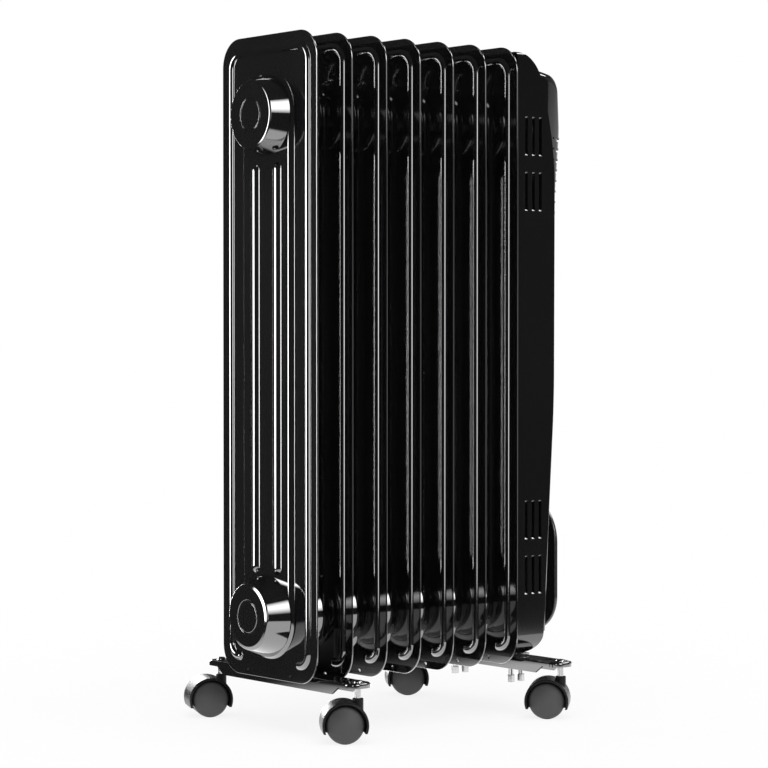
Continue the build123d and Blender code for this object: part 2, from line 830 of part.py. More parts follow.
with BuildPart() as thermostat_shaft:
    with BuildSketch(cross_plane(shaft_back_x)):
        with Locations((0, knob_z)):
            Circle(shaft_radius)
    extrude(amount=knob_back_x + shaft_grip - shaft_back_x)
thermostat_shaft.part.label = "thermostat_shaft"
export_step(thermostat_shaft.part, "parts/thermostat_shaft.step")

with BuildPart() as thermostat_knob:
    with BuildSketch(Plane.XZ):
        with BuildLine():
            Polyline(
                (knob_back_x, knob_z),
                (knob_back_x, knob_z + knob_radius),
                (knob_tip_x, knob_z + knob_radius - knob_taper),
                (knob_tip_x, knob_z),
                close=True,
            )
        make_face()
    revolve(axis=Axis((0, 0, knob_z), (1, 0, 0)))
    fillet(thermostat_knob.faces().sort_by(Axis.X)[-1].edges(), knob_taper)
    with BuildSketch(cross_plane(knob_back_x + knob_taper)):
        with Locations((0, knob_z)):
            with PolarLocations(knob_radius, knob_flutes):
                Circle(knob_flute)
    extrude(amount=knob_depth, mode=Mode.SUBTRACT)
    with BuildSketch(cross_plane(knob_back_x)):
        with Locations((0, knob_z)):
            Circle(shaft_radius + push_gap)
    extrude(amount=shaft_grip, mode=Mode.SUBTRACT)
thermostat_knob.part.label = "thermostat_knob"
export_step(thermostat_knob.part, "parts/thermostat_knob.step")

# Power switches: a rocker on two trunnions in each frame
pivot_x = switch_face_x
switch_seat_x = face_x(switch_z + switch_half_height + switch_flange) + push_gap
rocker_tip = rocker_proud + rocker_swing * tan(radians(rocker_tilt))

for switch_side, switch_y in (("left", switch_spread), ("right", -switch_spread)):
    with BuildPart() as switch_frame:
        with BuildSketch(cross_plane(switch_seat_x)):
            with Locations((switch_y, switch_z)):
                Rectangle(2 * (switch_half_width + switch_flange), 2 * (switch_half_height + switch_flange))
        extrude(amount=switch_flange_depth)
        with BuildSketch(cross_plane(switch_seat_x)):
            with Locations((switch_y, switch_z)):
                Rectangle(2 * switch_half_width, 2 * switch_half_height)
        extrude(amount=-switch_depth)
        with BuildSketch(cross_plane(switch_seat_x - switch_depth + switch_wall)):
            with Locations((switch_y, switch_z)):
                Rectangle(2 * (switch_half_width - switch_wall), 2 * (switch_half_height - switch_wall))
        extrude(amount=switch_depth + switch_flange_depth, mode=Mode.SUBTRACT)
        with BuildSketch(Plane.XZ.offset(-switch_y)):
            with Locations((pivot_x, switch_z)):
                Circle(rocker_pin + running_gap)
        extrude(amount=switch_half_width, both=True, mode=Mode.SUBTRACT)
    switch_frame.part.label = f"switch_frame_{switch_side}"
    export_step(switch_frame.part, f"parts/switch_frame_{switch_side}.step")

    with BuildPart() as rocker:
        with BuildSketch(
            Plane(
                origin=(pivot_x, switch_y, switch_z),
                x_dir=(cos(radians(rocker_tilt)), 0, -sin(radians(rocker_tilt))),
                z_dir=(0, -1, 0),
            )
        ):
            Circle(rocker_swing)
            with BuildLine():
                Polyline(
                    (-rocker_back, -rocker_swing),
                    (rocker_tip, -rocker_swing),
                    (rocker_proud, 0),
                    (rocker_tip, rocker_swing),
                    (-rocker_back, rocker_swing),
                    close=True,
                )
            make_face(mode=Mode.INTERSECT)
        extrude(amount=rocker_width / 2, both=True)
        with BuildSketch(Plane.XZ.offset(-switch_y)):
            with Locations((pivot_x, switch_z)):
                Circle(rocker_pin)
        extrude(amount=switch_half_width - running_gap, both=True)
    rocker.part.label = f"rocker_{switch_side}"
    export_step(rocker.part, f"parts/rocker_{switch_side}.step")

# Pilot lamp: a domed lens pushed into the panel
lens_x = lamp_face_x + seat_gap
dome_radius = ridge_radius(2 * lamp_radius, lamp_proud - lamp_flange)
dome_x = lens_x + lamp_proud - dome_radius
dome_half_turn = asin(lamp_radius / dome_radius) / 2

with BuildPart() as pilot_lamp:
    with BuildSketch(Plane.XZ):
        with BuildLine():
            Polyline(
                (lens_x + lamp_proud, lamp_z),
                (lens_x - lamp_stem, lamp_z),
                (lens_x - lamp_stem, lamp_z + lamp_radius),
                (lens_x, lamp_z + lamp_radius),
                (lens_x, lamp_z + lamp_radius + lamp_flange),
                (lens_x + lamp_flange, lamp_z + lamp_radius + lamp_flange),
                (lens_x + lamp_flange, lamp_z + lamp_radius),
            )
            ThreePointArc(
                (lens_x + lamp_flange, lamp_z + lamp_radius),
                (dome_x + dome_radius * cos(dome_half_turn), lamp_z + dome_radius * sin(dome_half_turn)),
                (lens_x + lamp_proud, lamp_z),
            )
        make_face()
    revolve(axis=Axis((0, 0, lamp_z), (1, 0, 0)))
pilot_lamp.part.label = "pilot_lamp"
export_step(pilot_lamp.part, "parts/pilot_lamp.step")

# Cord gland: a tapered nose on a flange, with the bore for the cord
gland_tip_x = gland_face_x + gland_flange_depth + gland_nose

with BuildPart() as cord_gland:
    with BuildSketch(cross_plane(gland_face_x - fascia_wall)):
        with Locations((0, gland_z)):
            Circle(gland_flange)
    extrude(amount=fascia_wall + gland_flange_depth)
    add(fascia_block(-seat_gap / 2), mode=Mode.SUBTRACT)
    with BuildSketch(cross_plane(gland_face_x + gland_flange_depth)):
        with Locations((0, gland_z)):
            Circle(gland_radius)
    extrude(amount=gland_nose, taper=gland_taper)
    with BuildSketch(cross_plane(gland_face_x + gland_flange_depth)):
        with Locations((0, gland_z)):
            Circle(gland_radius)
    extrude(amount=-gland_flange_depth - fascia_wall - gland_stub)
    with BuildSketch(cross_plane(gland_tip_x)):
        with Locations((0, gland_z)):
            Circle(gland_bore)
    extrude(amount=-through_depth, mode=Mode.SUBTRACT)
cord_gland.part.label = "cord_gland"
export_step(cord_gland.part, "parts/cord_gland.step")

# Cord winder: a shield shaped plate on a hub
with BuildPart() as cord_winder:
    with BuildSketch(cross_plane(winder_back_x)):
        with Locations((0, winder_z)):
            Rectangle(2 * winder_half_width, winder_high - winder_low)
        fillet(vertices().group_by(Axis.Y)[-1], winder_top_corner)
        fillet(vertices().group_by(Axis.Y)[0], winder_low_corner)
    extrude(amount=winder_gauge)
    fillet(cord_winder.faces().sort_by(Axis.X)[-1].edges(), winder_edge)
    with BuildSketch(cross_plane(winder_back_x)):
        with Locations((0, winder_z)):
            RectangleRounded(hub_width, hub_height, hub_corner)
    extrude(amount=-2 * winder_gap)
    add(fascia_block(-seat_gap), mode=Mode.SUBTRACT)
    with BuildSketch(cross_plane(winder_face_x)):
        with Locations(screw_places):
            Circle(screw_head + push_gap)
    extrude(amount=-screw_head_depth, mode=Mode.SUBTRACT)
    with BuildSketch(cross_plane(winder_face_x)):
        with Locations(screw_places):
            Circle(screw_shank + push_gap)
    extrude(amount=-through_depth, mode=Mode.SUBTRACT)
cord_winder.part.label = "cord_winder"
export_step(cord_winder.part, "parts/cord_winder.step")

with BuildPart() as winder_screws:
    with BuildSketch(cross_plane(winder_face_x - screw_head_depth)):
        with Locations(screw_places):
            Circle(screw_head)
    extrude(amount=screw_head_depth - push_gap)
    with BuildSketch(cross_plane(winder_face_x - screw_head_depth)):
        with Locations(screw_places):
            Circle(screw_shank)
    extrude(amount=-winder_gap - winder_gauge - fascia_wall)
winder_screws.part.label = "winder_screws"
export_step(winder_screws.part, "parts/winder_screws.step")


# Foot bars: stamped channels across the heater
def foot_bar(bar_x, tie_places, tie_radius):
    """Channel with a deep skirt between its tapered ends, and holes for its stems and ties."""
    with BuildPart() as bar:
        with BuildSketch(Plane.XY.offset(bar_top)):
            with Locations((bar_x, 0)):
                RectangleRounded(bar_width, 2 * bar_half_length, bar_corner)
        extrude(amount=-bar_skirt)
        with BuildSketch(Plane.XY.offset(bar_top - bar_gauge)):
            with Locations((bar_x, 0)):
                RectangleRounded(
                    bar_width - 2 * bar_gauge, 2 * (bar_half_length - bar_gauge), bar_corner - bar_gauge
                )
        extrude(amount=-bar_skirt, mode=Mode.SUBTRACT)
        with BuildSketch(cross_plane(bar_x)):
            with BuildLine():
                Polyline(
                    (bar_half_length - bar_taper_start, bar_top - bar_skirt),
                    (bar_half_length - bar_taper_end, bar_top - bar_end_skirt),
                    (bar_half_length + bar_gauge, bar_top - bar_end_skirt),
                    (bar_half_length + bar_gauge, bar_top - bar_skirt),
                    close=True,
                )
            make_face()
            mirror(about=Plane.YZ)
        extrude(amount=bar_width, both=True, mode=Mode.SUBTRACT)
        with BuildSketch(Plane.XY.offset(bar_top)):
            with Locations((bar_x, stem_y), (bar_x, -stem_y)):
                Circle(stem_radius + push_gap)
            slot_y = bar_half_length - bar_slot_inset
            with Locations((bar_x, slot_y), (bar_x, -slot_y)):
                SlotOverall(bar_slot_length, bar_slot_width, rotation=90)
            with Locations(tie_places):
                Circle(tie_radius + push_gap)
        extrude(amount=-bar_gauge, mode=Mode.SUBTRACT)
    return bar.part


u_bolt_radius = lower_waist + rod_radius - rod_sink
u_bolt_places = [(end_bar_x, -u_bolt_radius), (end_bar_x, u_bolt_radius)]
strap_inner = socket_radius + free_gap
strap_outer = strap_inner + strap_gauge
stud_y = strap_outer + ear_length / 2
stud_places = [
    (front_bar_x + stud_x, side * stud_y) for stud_x in (-stud_spread / 2, stud_spread / 2) for side in (-1, 1)
]

with BuildPart() as end_foot_bar:
    add(foot_bar(end_bar_x, u_bolt_places, rod_radius))
end_foot_bar.part.label = "end_foot_bar"
export_step(end_foot_bar.part, "parts/end_foot_bar.step")

with BuildPart() as front_foot_bar:
    add(foot_bar(front_bar_x, stud_places, rod_radius))
front_foot_bar.part.label = "front_foot_bar"
export_step(front_foot_bar.part, "parts/front_foot_bar.step")


# Cradles: saddles between each foot bar and the lower collector
def cradle(bar_x, width, collector_radius):
    """Saddle on a foot bar, hollowed to the round that it carries."""
    with BuildPart() as saddle:
        with BuildSketch(cross_plane(bar_x)):
            with BuildLine():
                Polyline(
                    (-cradle_half_span, lower_axis),
                    (-cradle_half_span, bar_top + cradle_toe_height),
                    (-cradle_half_span - cradle_toe, bar_top),
                    (cradle_half_span + cradle_toe, bar_top),
                    (cradle_half_span, bar_top + cradle_toe_height),
                    (cradle_half_span, lower_axis),
                    close=True,
                )
            make_face()
            with Locations((0, lower_axis)):
                Circle(collector_radius + free_gap, mode=Mode.SUBTRACT)
        extrude(amount=width / 2, both=True)
    return saddle.part


with BuildPart() as end_cradle:
    add(cradle(end_bar_x, 2 * boss_shoulder, lower_waist))
    with BuildSketch(Plane.XY.offset(bar_top)):
        with Locations(u_bolt_places):
            Circle(rod_radius + free_gap)
    extrude(amount=lower_lift, mode=Mode.SUBTRACT)
end_cradle.part.label = "end_cradle"
export_step(end_cradle.part, "parts/end_cradle.step")

with BuildPart() as front_cradle:
    add(cradle(front_bar_x, strap_width, socket_radius - free_gap / 2))
front_cradle.part.label = "front_cradle"
export_step(front_cradle.part, "parts/front_cradle.step")

# U-bolt: goes over the end collector and is nutted under the bar
nut_top = bar_top - bar_gauge
leg_low = nut_top - nut_height - rod_radius

with BuildPart() as end_u_bolt:
    with BuildLine(cross_plane(end_bar_x)) as u_path:
        Line((-u_bolt_radius, leg_low), (-u_bolt_radius, lower_axis))
        ThreePointArc(
            (-u_bolt_radius, lower_axis), (0, lower_axis + u_bolt_radius), (u_bolt_radius, lower_axis)
        )
        Line((u_bolt_radius, lower_axis), (u_bolt_radius, leg_low))
    with BuildSketch(Plane(origin=u_path.line @ 0, z_dir=u_path.line % 0)):
        Circle(rod_radius)
    sweep()
end_u_bolt.part.label = "end_u_bolt"
export_step(end_u_bolt.part, "parts/end_u_bolt.step")

with BuildPart() as end_u_bolt_nuts:
    with BuildSketch(Plane.XY.offset(nut_top)):
        with Locations(u_bolt_places):
            RegularPolygon(nut_flats / 2, 6, major_radius=False)
            Circle(rod_radius + push_gap, mode=Mode.SUBTRACT)
    extrude(amount=-nut_height)
end_u_bolt_nuts.part.label = "end_u_bolt_nuts"
export_step(end_u_bolt_nuts.part, "parts/end_u_bolt_nuts.step")

# Strap: arches over the element socket and ends in two ears on the front bar
with BuildPart() as front_strap:
    with BuildSketch(cross_plane(front_bar_x)):
        with Locations((0, lower_axis)):
            Circle(strap_outer)
        with Locations((0, (lower_axis + bar_top) / 2)):
            Rectangle(2 * strap_outer, lower_axis - bar_top)
        with Locations((0, lower_axis)):
            Circle(strap_inner, mode=Mode.SUBTRACT)
        with Locations((0, (lower_axis + bar_top) / 2)):
            Rectangle(2 * strap_inner, lower_axis - bar_top, mode=Mode.SUBTRACT)
    extrude(amount=strap_width / 2, both=True)
    with BuildSketch(Plane.XY.offset(bar_top)):
        for side in (-1, 1):
            with Locations((front_bar_x, side * (strap_outer + ear_length / 2))):
                Rectangle(ear_width, ear_length)
        with Locations(stud_places):
            Circle(rod_radius + push_gap, mode=Mode.SUBTRACT)
    extrude(amount=strap_gauge)
front_strap.part.label = "front_strap"
export_step(front_strap.part, "parts/front_strap.step")

# Studs: pass through the ears and the bar, with cap nuts at their lower ends
stud_top = bar_top + strap_gauge
stud_tip = fin_bottom - stud_tip_drop

with BuildPart() as strap_studs:
    with BuildSketch(Plane.XY.offset(stud_top)):
        with Locations(stud_places):
            Circle(nut_flats / 2)
    extrude(amount=rod_radius)
    with BuildSketch(Plane.XY.offset(stud_top)):
        with Locations(stud_places):
            Circle(rod_radius)
    extrude(amount=stud_tip + rod_radius - stud_top)
strap_studs.part.label = "strap_studs"
export_step(strap_studs.part, "parts/strap_studs.step")

with BuildPart() as strap_nuts:
    with BuildSketch(Plane.XY.offset(nut_top)):
        with Locations(stud_places):
            RegularPolygon(nut_flats / 2, 6, major_radius=False)
            Circle(rod_radius + push_gap, mode=Mode.SUBTRACT)
    extrude(amount=-nut_height)
    with BuildSketch(Plane.XY.offset(stud_tip)):
        with Locations(stud_places):
            RegularPolygon(cap_nut_flats / 2, 6, major_radius=False)
    extrude(amount=cap_nut_height)
    with BuildSketch(Plane.XY.offset(stud_tip + rod_radius)):
        with Locations(stud_places):
            Circle(rod_radius + push_gap)
    extrude(amount=cap_nut_height, mode=Mode.SUBTRACT)
strap_nuts.part.label = "strap_nuts"
export_step(strap_nuts.part, "parts/strap_nuts.step")

# Caster stems: four headed pins riveted into the bars
stem_places = [(bar_x, side * stem_y) for bar_x in (end_bar_x, front_bar_x) for side in (1, -1)]

with BuildPart() as caster_stems:
    with BuildSketch(Plane.XY.offset(stem_end_height)):
        with Locations(stem_places):
            Circle(stem_radius)
    extrude(amount=bar_top - stem_end_height)
    with BuildSketch(Plane.XY.offset(bar_top)):
        with Locations(stem_places):
            Circle(stem_head)
    extrude(amount=stem_head_height, taper=stem_head_taper)
caster_stems.part.label = "caster_stems"
export_step(caster_stems.part, "parts/caster_stems.step")

# Caster blanks, drawn with the stem on Z and the wheels trailing along +X
hood_inner = wheel_radius + hood_well_gap
hood_outer = hood_inner + hood_wall
wheel_inner_y = hood_web / 2 + free_gap
wheel_outer_y = wheel_inner_y + wheel_tread
hood_half = wheel_outer_y + running_gap

with BuildPart() as hood_blank:
    with BuildSketch(Plane.XZ):
        with Locations((caster_trail, wheel_radius)):
            Circle(hood_outer)
    extrude(amount=hood_half, both=True)
    fillet(hood_blank.edges().filter_by(GeomType.CIRCLE), hood_edge)
    with BuildSketch(Plane.XY.offset(wheel_radius)):
        Circle(hood_boss)
    extrude(amount=hood_boss_height - wheel_radius)
    for side in (-1, 1):
        with BuildSketch(Plane.XZ.offset(side * hood_web / 2)):
            with Locations((caster_trail, wheel_radius)):
                Circle(hood_inner)
        extrude(amount=side * hood_half, mode=Mode.SUBTRACT)
    with BuildSketch(Plane.XY.offset(stem_end_height - free_gap)):
        Circle(stem_radius + running_gap)
    extrude(amount=hood_boss_height, mode=Mode.SUBTRACT)
    with BuildSketch(Plane.XZ):
        with Locations((caster_trail, wheel_radius)):
            Circle(axle_radius + push_gap)
    extrude(amount=hood_web, both=True, mode=Mode.SUBTRACT)
    split(bisect_by=Plane.XY.offset(hood_hem))

with BuildPart() as axle_blank:
    with BuildSketch(Plane.XZ):
        with Locations((caster_trail, wheel_radius)):
            Circle(axle_radius)
    extrude(amount=axle_half_length, both=True)

wheel_face_y = wheel_outer_y - wheel_crown
wheel_land = wheel_radius - 2 * wheel_round
crown_radius = ridge_radius(2 * wheel_land, wheel_crown)
crown_half_turn = asin(wheel_land / crown_radius) / 2
axle_end_y = axle_half_length + free_gap
wheel_bore = axle_radius + running_gap

with BuildPart() as wheel_blank:
    with BuildSketch(Plane.XY.offset(wheel_radius)):
        with BuildLine():
            FilletPolyline(
                (caster_trail + wheel_bore, wheel_inner_y),
                (caster_trail + wheel_radius, wheel_inner_y),
                (caster_trail + wheel_radius, wheel_face_y),
                (caster_trail + wheel_land, wheel_face_y),
                radius=wheel_round,
            )
            ThreePointArc(
                (caster_trail + wheel_land, wheel_face_y),
                (
                    caster_trail + crown_radius * sin(crown_half_turn),
                    wheel_outer_y - crown_radius * (1 - cos(crown_half_turn)),
                ),
                (caster_trail, wheel_outer_y),
            )
            Polyline(
                (caster_trail, wheel_outer_y),
                (caster_trail, axle_end_y),
                (caster_trail + wheel_bore, axle_end_y),
                (caster_trail + wheel_bore, wheel_inner_y),
            )
        make_face()
    revolve(axis=Axis((caster_trail, 0, wheel_radius), (0, 1, 0)))

for (place_x, place_y), (caster_name, turn) in zip(stem_places, caster_turns.items()):
    trail_direction = (-sin(radians(turn)), cos(radians(turn)), 0)
    caster_plane = Plane(origin=(place_x, place_y, 0), x_dir=trail_direction, z_dir=(0, 0, 1))

    with BuildPart() as caster_hood:
        with Locations(caster_plane):
            add(hood_blank.part)
    caster_hood.part.label = f"caster_hood_{caster_name}"
    export_step(caster_hood.part, f"parts/caster_hood_{caster_name}.step")

    with BuildPart() as caster_axle:
        with Locations(caster_plane):
            add(axle_blank.part)
    caster_axle.part.label = f"caster_axle_{caster_name}"
    export_step(caster_axle.part, f"parts/caster_axle_{caster_name}.step")

    with BuildPart() as wheel_a:
        with Locations(caster_plane):
            add(wheel_blank.part)
    wheel_a.part.label = f"wheel_{caster_name}_a"
    export_step(wheel_a.part, f"parts/wheel_{caster_name}_a.step")

    with BuildPart() as wheel_b:
        with Locations(caster_plane):
            add(wheel_blank.part.mirror(Plane.XZ))
    wheel_b.part.label = f"wheel_{caster_name}_b"
    export_step(wheel_b.part, f"parts/wheel_{caster_name}_b.step")
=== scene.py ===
"""Oil filled radiator heater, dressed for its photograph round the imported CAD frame."""
from math import acos, cos, pi, radians, sin, tan

import bmesh
import bpy
from mathutils import Matrix, Vector
from mathutils.bvhtree import BVHTree


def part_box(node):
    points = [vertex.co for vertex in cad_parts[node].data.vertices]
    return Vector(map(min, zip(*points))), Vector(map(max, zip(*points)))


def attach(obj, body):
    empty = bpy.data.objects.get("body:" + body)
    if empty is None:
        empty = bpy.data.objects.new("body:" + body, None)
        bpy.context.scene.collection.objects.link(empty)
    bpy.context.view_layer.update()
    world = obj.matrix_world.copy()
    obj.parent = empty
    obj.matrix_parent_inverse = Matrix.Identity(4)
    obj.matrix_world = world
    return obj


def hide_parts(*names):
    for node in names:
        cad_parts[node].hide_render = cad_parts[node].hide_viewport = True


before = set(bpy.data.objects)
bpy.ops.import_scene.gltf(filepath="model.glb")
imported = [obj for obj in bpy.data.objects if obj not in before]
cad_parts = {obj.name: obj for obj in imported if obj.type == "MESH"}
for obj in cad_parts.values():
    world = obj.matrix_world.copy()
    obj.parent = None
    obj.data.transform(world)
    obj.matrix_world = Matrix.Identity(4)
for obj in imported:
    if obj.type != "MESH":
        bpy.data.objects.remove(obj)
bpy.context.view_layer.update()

# Fins: seven radiator fins, each of two steel sheets that are pressed with a bead round the edge, a raised oil
# panel, two ribs and a drawn boss for each collector, welded at the rim and dipped in gloss black enamel.
# Shapes are drawn in millimetres, points nearer than WELD become one, and a finished piece is brought to metres.
MM = 0.001
WELD = 1e-4
X_AXIS, Y_AXIS, Z_AXIS = Vector((1, 0, 0)), Vector((0, 1, 0)), Vector((0, 0, 1))


def node_box(node):
    """Lowest and highest corners of a CAD node, in millimetres."""
    return [Vector(corner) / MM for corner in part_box(node)]


def middle_height(node):
    """Height of a CAD node's middle."""
    return sum(corner.z for corner in node_box(node)) / 2


fin_names = [f"fin_{number}" for number in range(1, 8)]
fin_low, fin_high = node_box(fin_names[0])
boss_reach = (fin_high.x - fin_low.x) / 2
fin_half, fin_bottom, fin_top = fin_high.y, fin_low.z, fin_high.z
upper_axis, lower_axis = middle_height("upper_end_cap"), middle_height("lower_end_cap")
sheet, fin_corner, fin_rim = 0.8, 26.0, 0.5
bead_width, bead_rise, bead_inset, bead_corner = 8.0, 2.4, 13.7, 15.0
hook_radius, hook_lift, hook_tail = 11.6, 16.5, 2.0
panel_face, panel_foot, panel_radius, panel_flank, panel_steps = 4.1, 0.6, 41.0, 7.0, 10
panel_corner, panel_lip = 0.97 * panel_radius, 0.02
rib_width, rib_rise, rib_spread = 13.0, 3.0, 17.0
rib_low, rib_high = 151.5, 515.5
boss_necks = {upper_axis: (33.0, 31.2), lower_axis: (34.3, 30.0)}
boss_shoulder, boss_root = 4.0, 0.7
drain_radius, drain_spread, drain_lift = 1.7, 33.0, 4.5


class Wire:
    """A socket in a material; arithmetic on it adds Math nodes."""

    def __init__(self, tree, socket):
        self.tree, self.socket = tree, socket

    def node(self, kind, settings, sockets, output=0):
        """Any other node, from its type, its settings and its sockets' values or links."""
        made = self.tree.nodes.new(kind)
        for name, value in settings.items():
            setattr(made, name, value)
        for name, value in sockets.items():
            if isinstance(value, Wire):
                self.tree.links.new(value.socket, made.inputs[name])
            else:
                made.inputs[name].default_value = value
        return Wire(self.tree, made.outputs[output])

    def noise(self, scale, detail=2.0):
        """Cloudy pattern from 0 to 1, its scale in spots per metre."""
        return self.node("ShaderNodeTexNoise", {}, {"Vector": self, "Scale": scale, "Detail": detail})

    def ramp(self, low, high):
        """Pattern stretched so that low becomes 0 and high becomes 1."""
        return self.node("ShaderNodeMapRange", {}, {"Value": self, "From Min": low, "From Max": high})

    def tint(self, dark, light):
        """Colour between two, by this pattern."""
        return self.node(
            "ShaderNodeMix", {"data_type": "RGBA"}, {0: self, 6: (*dark, 1.0), 7: (*light, 1.0)}, output=2
        )

    def bump(self, depth):
        """Surface relief of this depth in metres."""
        return self.node("ShaderNodeBump", {}, {"Height": self, "Distance": depth, "Strength": 1.0})

    def into(self, shader, socket):
        """Feeds a shader's socket."""
        self.tree.links.new(self.socket, shader.inputs[socket])

    def maths(self, operation, left, right):
        """Math node on two wires or numbers."""
        return self.node("ShaderNodeMath", {"operation": operation}, {0: left, 1: right})

    def __add__(self, other):
        return self.maths("ADD", self, other)

    def __mul__(self, other):
        return self.maths("MULTIPLY", self, other)

    __radd__ = __add__
    __rmul__ = __mul__


def new_finish(name, uniform, colour, gloss=None, grain=None):
    """Material with uniform shader values and clouds on Object coordinates.

    The colour is a cloud's scale and detail and two tints, the gloss a least roughness, its spread and a cloud, and
    the grain a cloud and a depth in metres."""
    finish = bpy.data.materials.new(name)
    finish.use_nodes = True
    tree = finish.node_tree
    shader = tree.nodes["Principled BSDF"]
    for socket, value in uniform.items():
        shader.inputs[socket].default_value = value
    place = Wire(tree, tree.nodes.new("ShaderNodeTexCoord").outputs["Object"])
    scale, detail, dark, light = colour
    place.noise(scale, detail).tint(dark, light).into(shader, "Base Color")
    if gloss:
        least, spread, scale, detail = gloss
        (least + spread * place.noise(scale, detail)).into(shader, "Roughness")
    if grain:
        scale, detail, depth = grain
        place.noise(scale, detail).bump(depth).into(shader, "Normal")
    return finish


# Gloss black stove enamel: a deep wet coat with a faint orange peel and slightly uneven gloss
enamel = new_finish(
    "black_enamel", {"IOR": 1.9, "Coat Weight": 0.5, "Coat Roughness": 0.03},
    colour=(9, 3, (0.003, 0.003, 0.0035), (0.007, 0.007, 0.008)), gloss=(0.04, 0.05, 14, 4), grain=(240, 1, 4e-7),
)

bead_y, bead_top, hook_z = fin_half - bead_inset, fin_top - bead_inset, fin_bottom + hook_lift
turn_y, turn_z = bead_y - bead_corner, bead_top - bead_corner
hook_y, hook_turn_z = bead_y - hook_radius, hook_z + hook_radius


def flat_sheet(bm, corners):
    """Flat sheet through a few corner points; gives its corners."""
    return bm.faces.new([bm.verts.new(corner) for corner in corners]).verts[:]


def rectangle(x, half, low, high):
    """Corners of an upright rectangle that faces along X, from half its width and two heights."""
    return [(x, -half, low), (x, half, low), (x, half, high), (x, -half, high)]


def round_corners(bm, corners, radius, segments):
    """Rounds corners of a flat sheet to one radius; gives the sheet."""
    before, after = (edge.other_vert(corners[0]).co - corners[0].co for edge in corners[0].link_edges)
    tangent = radius * tan((pi - before.angle(after)) / 2)
    made = bmesh.ops.bevel(
        bm, geom=corners, offset=tangent, segments=segments, profile=0.5, affect="VERTICES", material=-1
    )
    return made["verts"][0].link_faces[0]


def only_verts(parts):
    """The points among what an operator made."""
    return [part for part in parts if isinstance(part, bmesh.types.BMVert)]


def thicken(bm, face, move):
    """Extrudes a flat sheet into a closed slab."""
    made = bmesh.ops.extrude_face_region(bm, geom=[face])
    bmesh.ops.translate(bm, verts=only_verts(made["geom"]), vec=move)
    bmesh.ops.recalc_face_normals(bm, faces=bm.faces)


def soften(bm, edges, offset, segments):
    """Rounds edges with a narrow bevel."""
    bmesh.ops.bevel(
        bm, geom=edges, offset=offset, segments=segments, profile=0.5, affect="EDGES", clamp_overlap=True, material=-1
    )


def sharp_edges(bm, least=40):
    """Edges whose faces turn by more than this many degrees."""
    return [edge for edge in bm.edges if edge.is_manifold and edge.calc_face_angle() > radians(least)]


fin_plate = bmesh.new()
corners = flat_sheet(fin_plate, rectangle(-sheet, fin_half, fin_bottom, fin_top))
thicken(fin_plate, round_corners(fin_plate, corners, fin_corner, 16), 2 * sheet * X_AXIS)
soften(fin_plate, sharp_edges(fin_plate), fin_rim, 2)


def corner_points(edges):
    """The points of some edges, each once and in order."""
    return list(dict.fromkeys(vert for edge in edges for vert in edge.verts))


def ridge(centre, travel, width, rise, base, moves):
    """Round ridge on both faces of a sheet that reaches base from the mid-plane.

    Each move is a run in Y and Z, or a quarter turn about a point."""
    slack, seam = 1e-2, 2e-3
    bm = bmesh.new()
    across = X_AXIS.cross(travel)
    radius = (width**2 / 4 + rise**2) / (2 * rise)
    depth = base + rise - radius
    half_turn = acos((base / 2 - depth) / radius)
    ends = []
    for side in (1, -1):
        middle = centre + side * depth * X_AXIS
        first = bm.verts.new(middle + radius * (side * cos(half_turn) * X_AXIS - sin(half_turn) * across))
        made = bmesh.ops.spin(bm, geom=[first], cent=middle, axis=-side * travel, angle=2 * half_turn, steps=12)
        ends.append((first, only_verts(made["geom_last"])[0]))
    for pair in zip(*ends):
        bm.edges.new(pair)

    def round_end(ring, centre, turn):
        half = [edge for edge in ring if all((vert.co - centre).dot(across) > -slack for vert in edge.verts)]
        bmesh.ops.spin(bm, geom=corner_points(half) + half, cent=centre, axis=X_AXIS, angle=turn, steps=16)

    ring = bm.edges[:]
    round_end(ring, centre, pi)
    for y, z, turning in moves:
        move = Vector((0, y, z))
        if turning:
            whole = corner_points(ring) + ring
            made = bmesh.ops.spin(bm, geom=whole, cent=move, axis=X_AXIS, angle=pi / 2, steps=12)["geom_last"]
        else:
            made = bmesh.ops.extrude_edge_only(bm, edges=ring)["geom"]
            bmesh.ops.translate(bm, verts=only_verts(made), vec=move)
        new_verts = set(only_verts(made))
        ring = [part for part in made if isinstance(part, bmesh.types.BMEdge) and set(part.verts) <= new_verts]
    end_verts = corner_points(ring)
    round_end(ring, sum((vert.co for vert in end_verts), Vector()) / len(end_verts), -pi)
    bmesh.ops.remove_doubles(bm, verts=bm.verts, dist=seam)
    bmesh.ops.recalc_face_normals(bm, faces=bm.faces)
    return bm


bead = ridge(
    Vector((0, hook_y - hook_tail, hook_z)), Y_AXIS, bead_width, bead_rise, sheet,
    [
        (hook_tail, 0, False),
        (hook_y, hook_turn_z, True),
        (0, turn_z - hook_turn_z, False),
        (turn_y, turn_z, True),
        (-2 * turn_y, 0, False),
        (-turn_y, turn_z, True),
        (0, hook_turn_z - turn_z, False),
        (-hook_y, hook_turn_z, True),
        (hook_tail, 0, False),
    ],
)

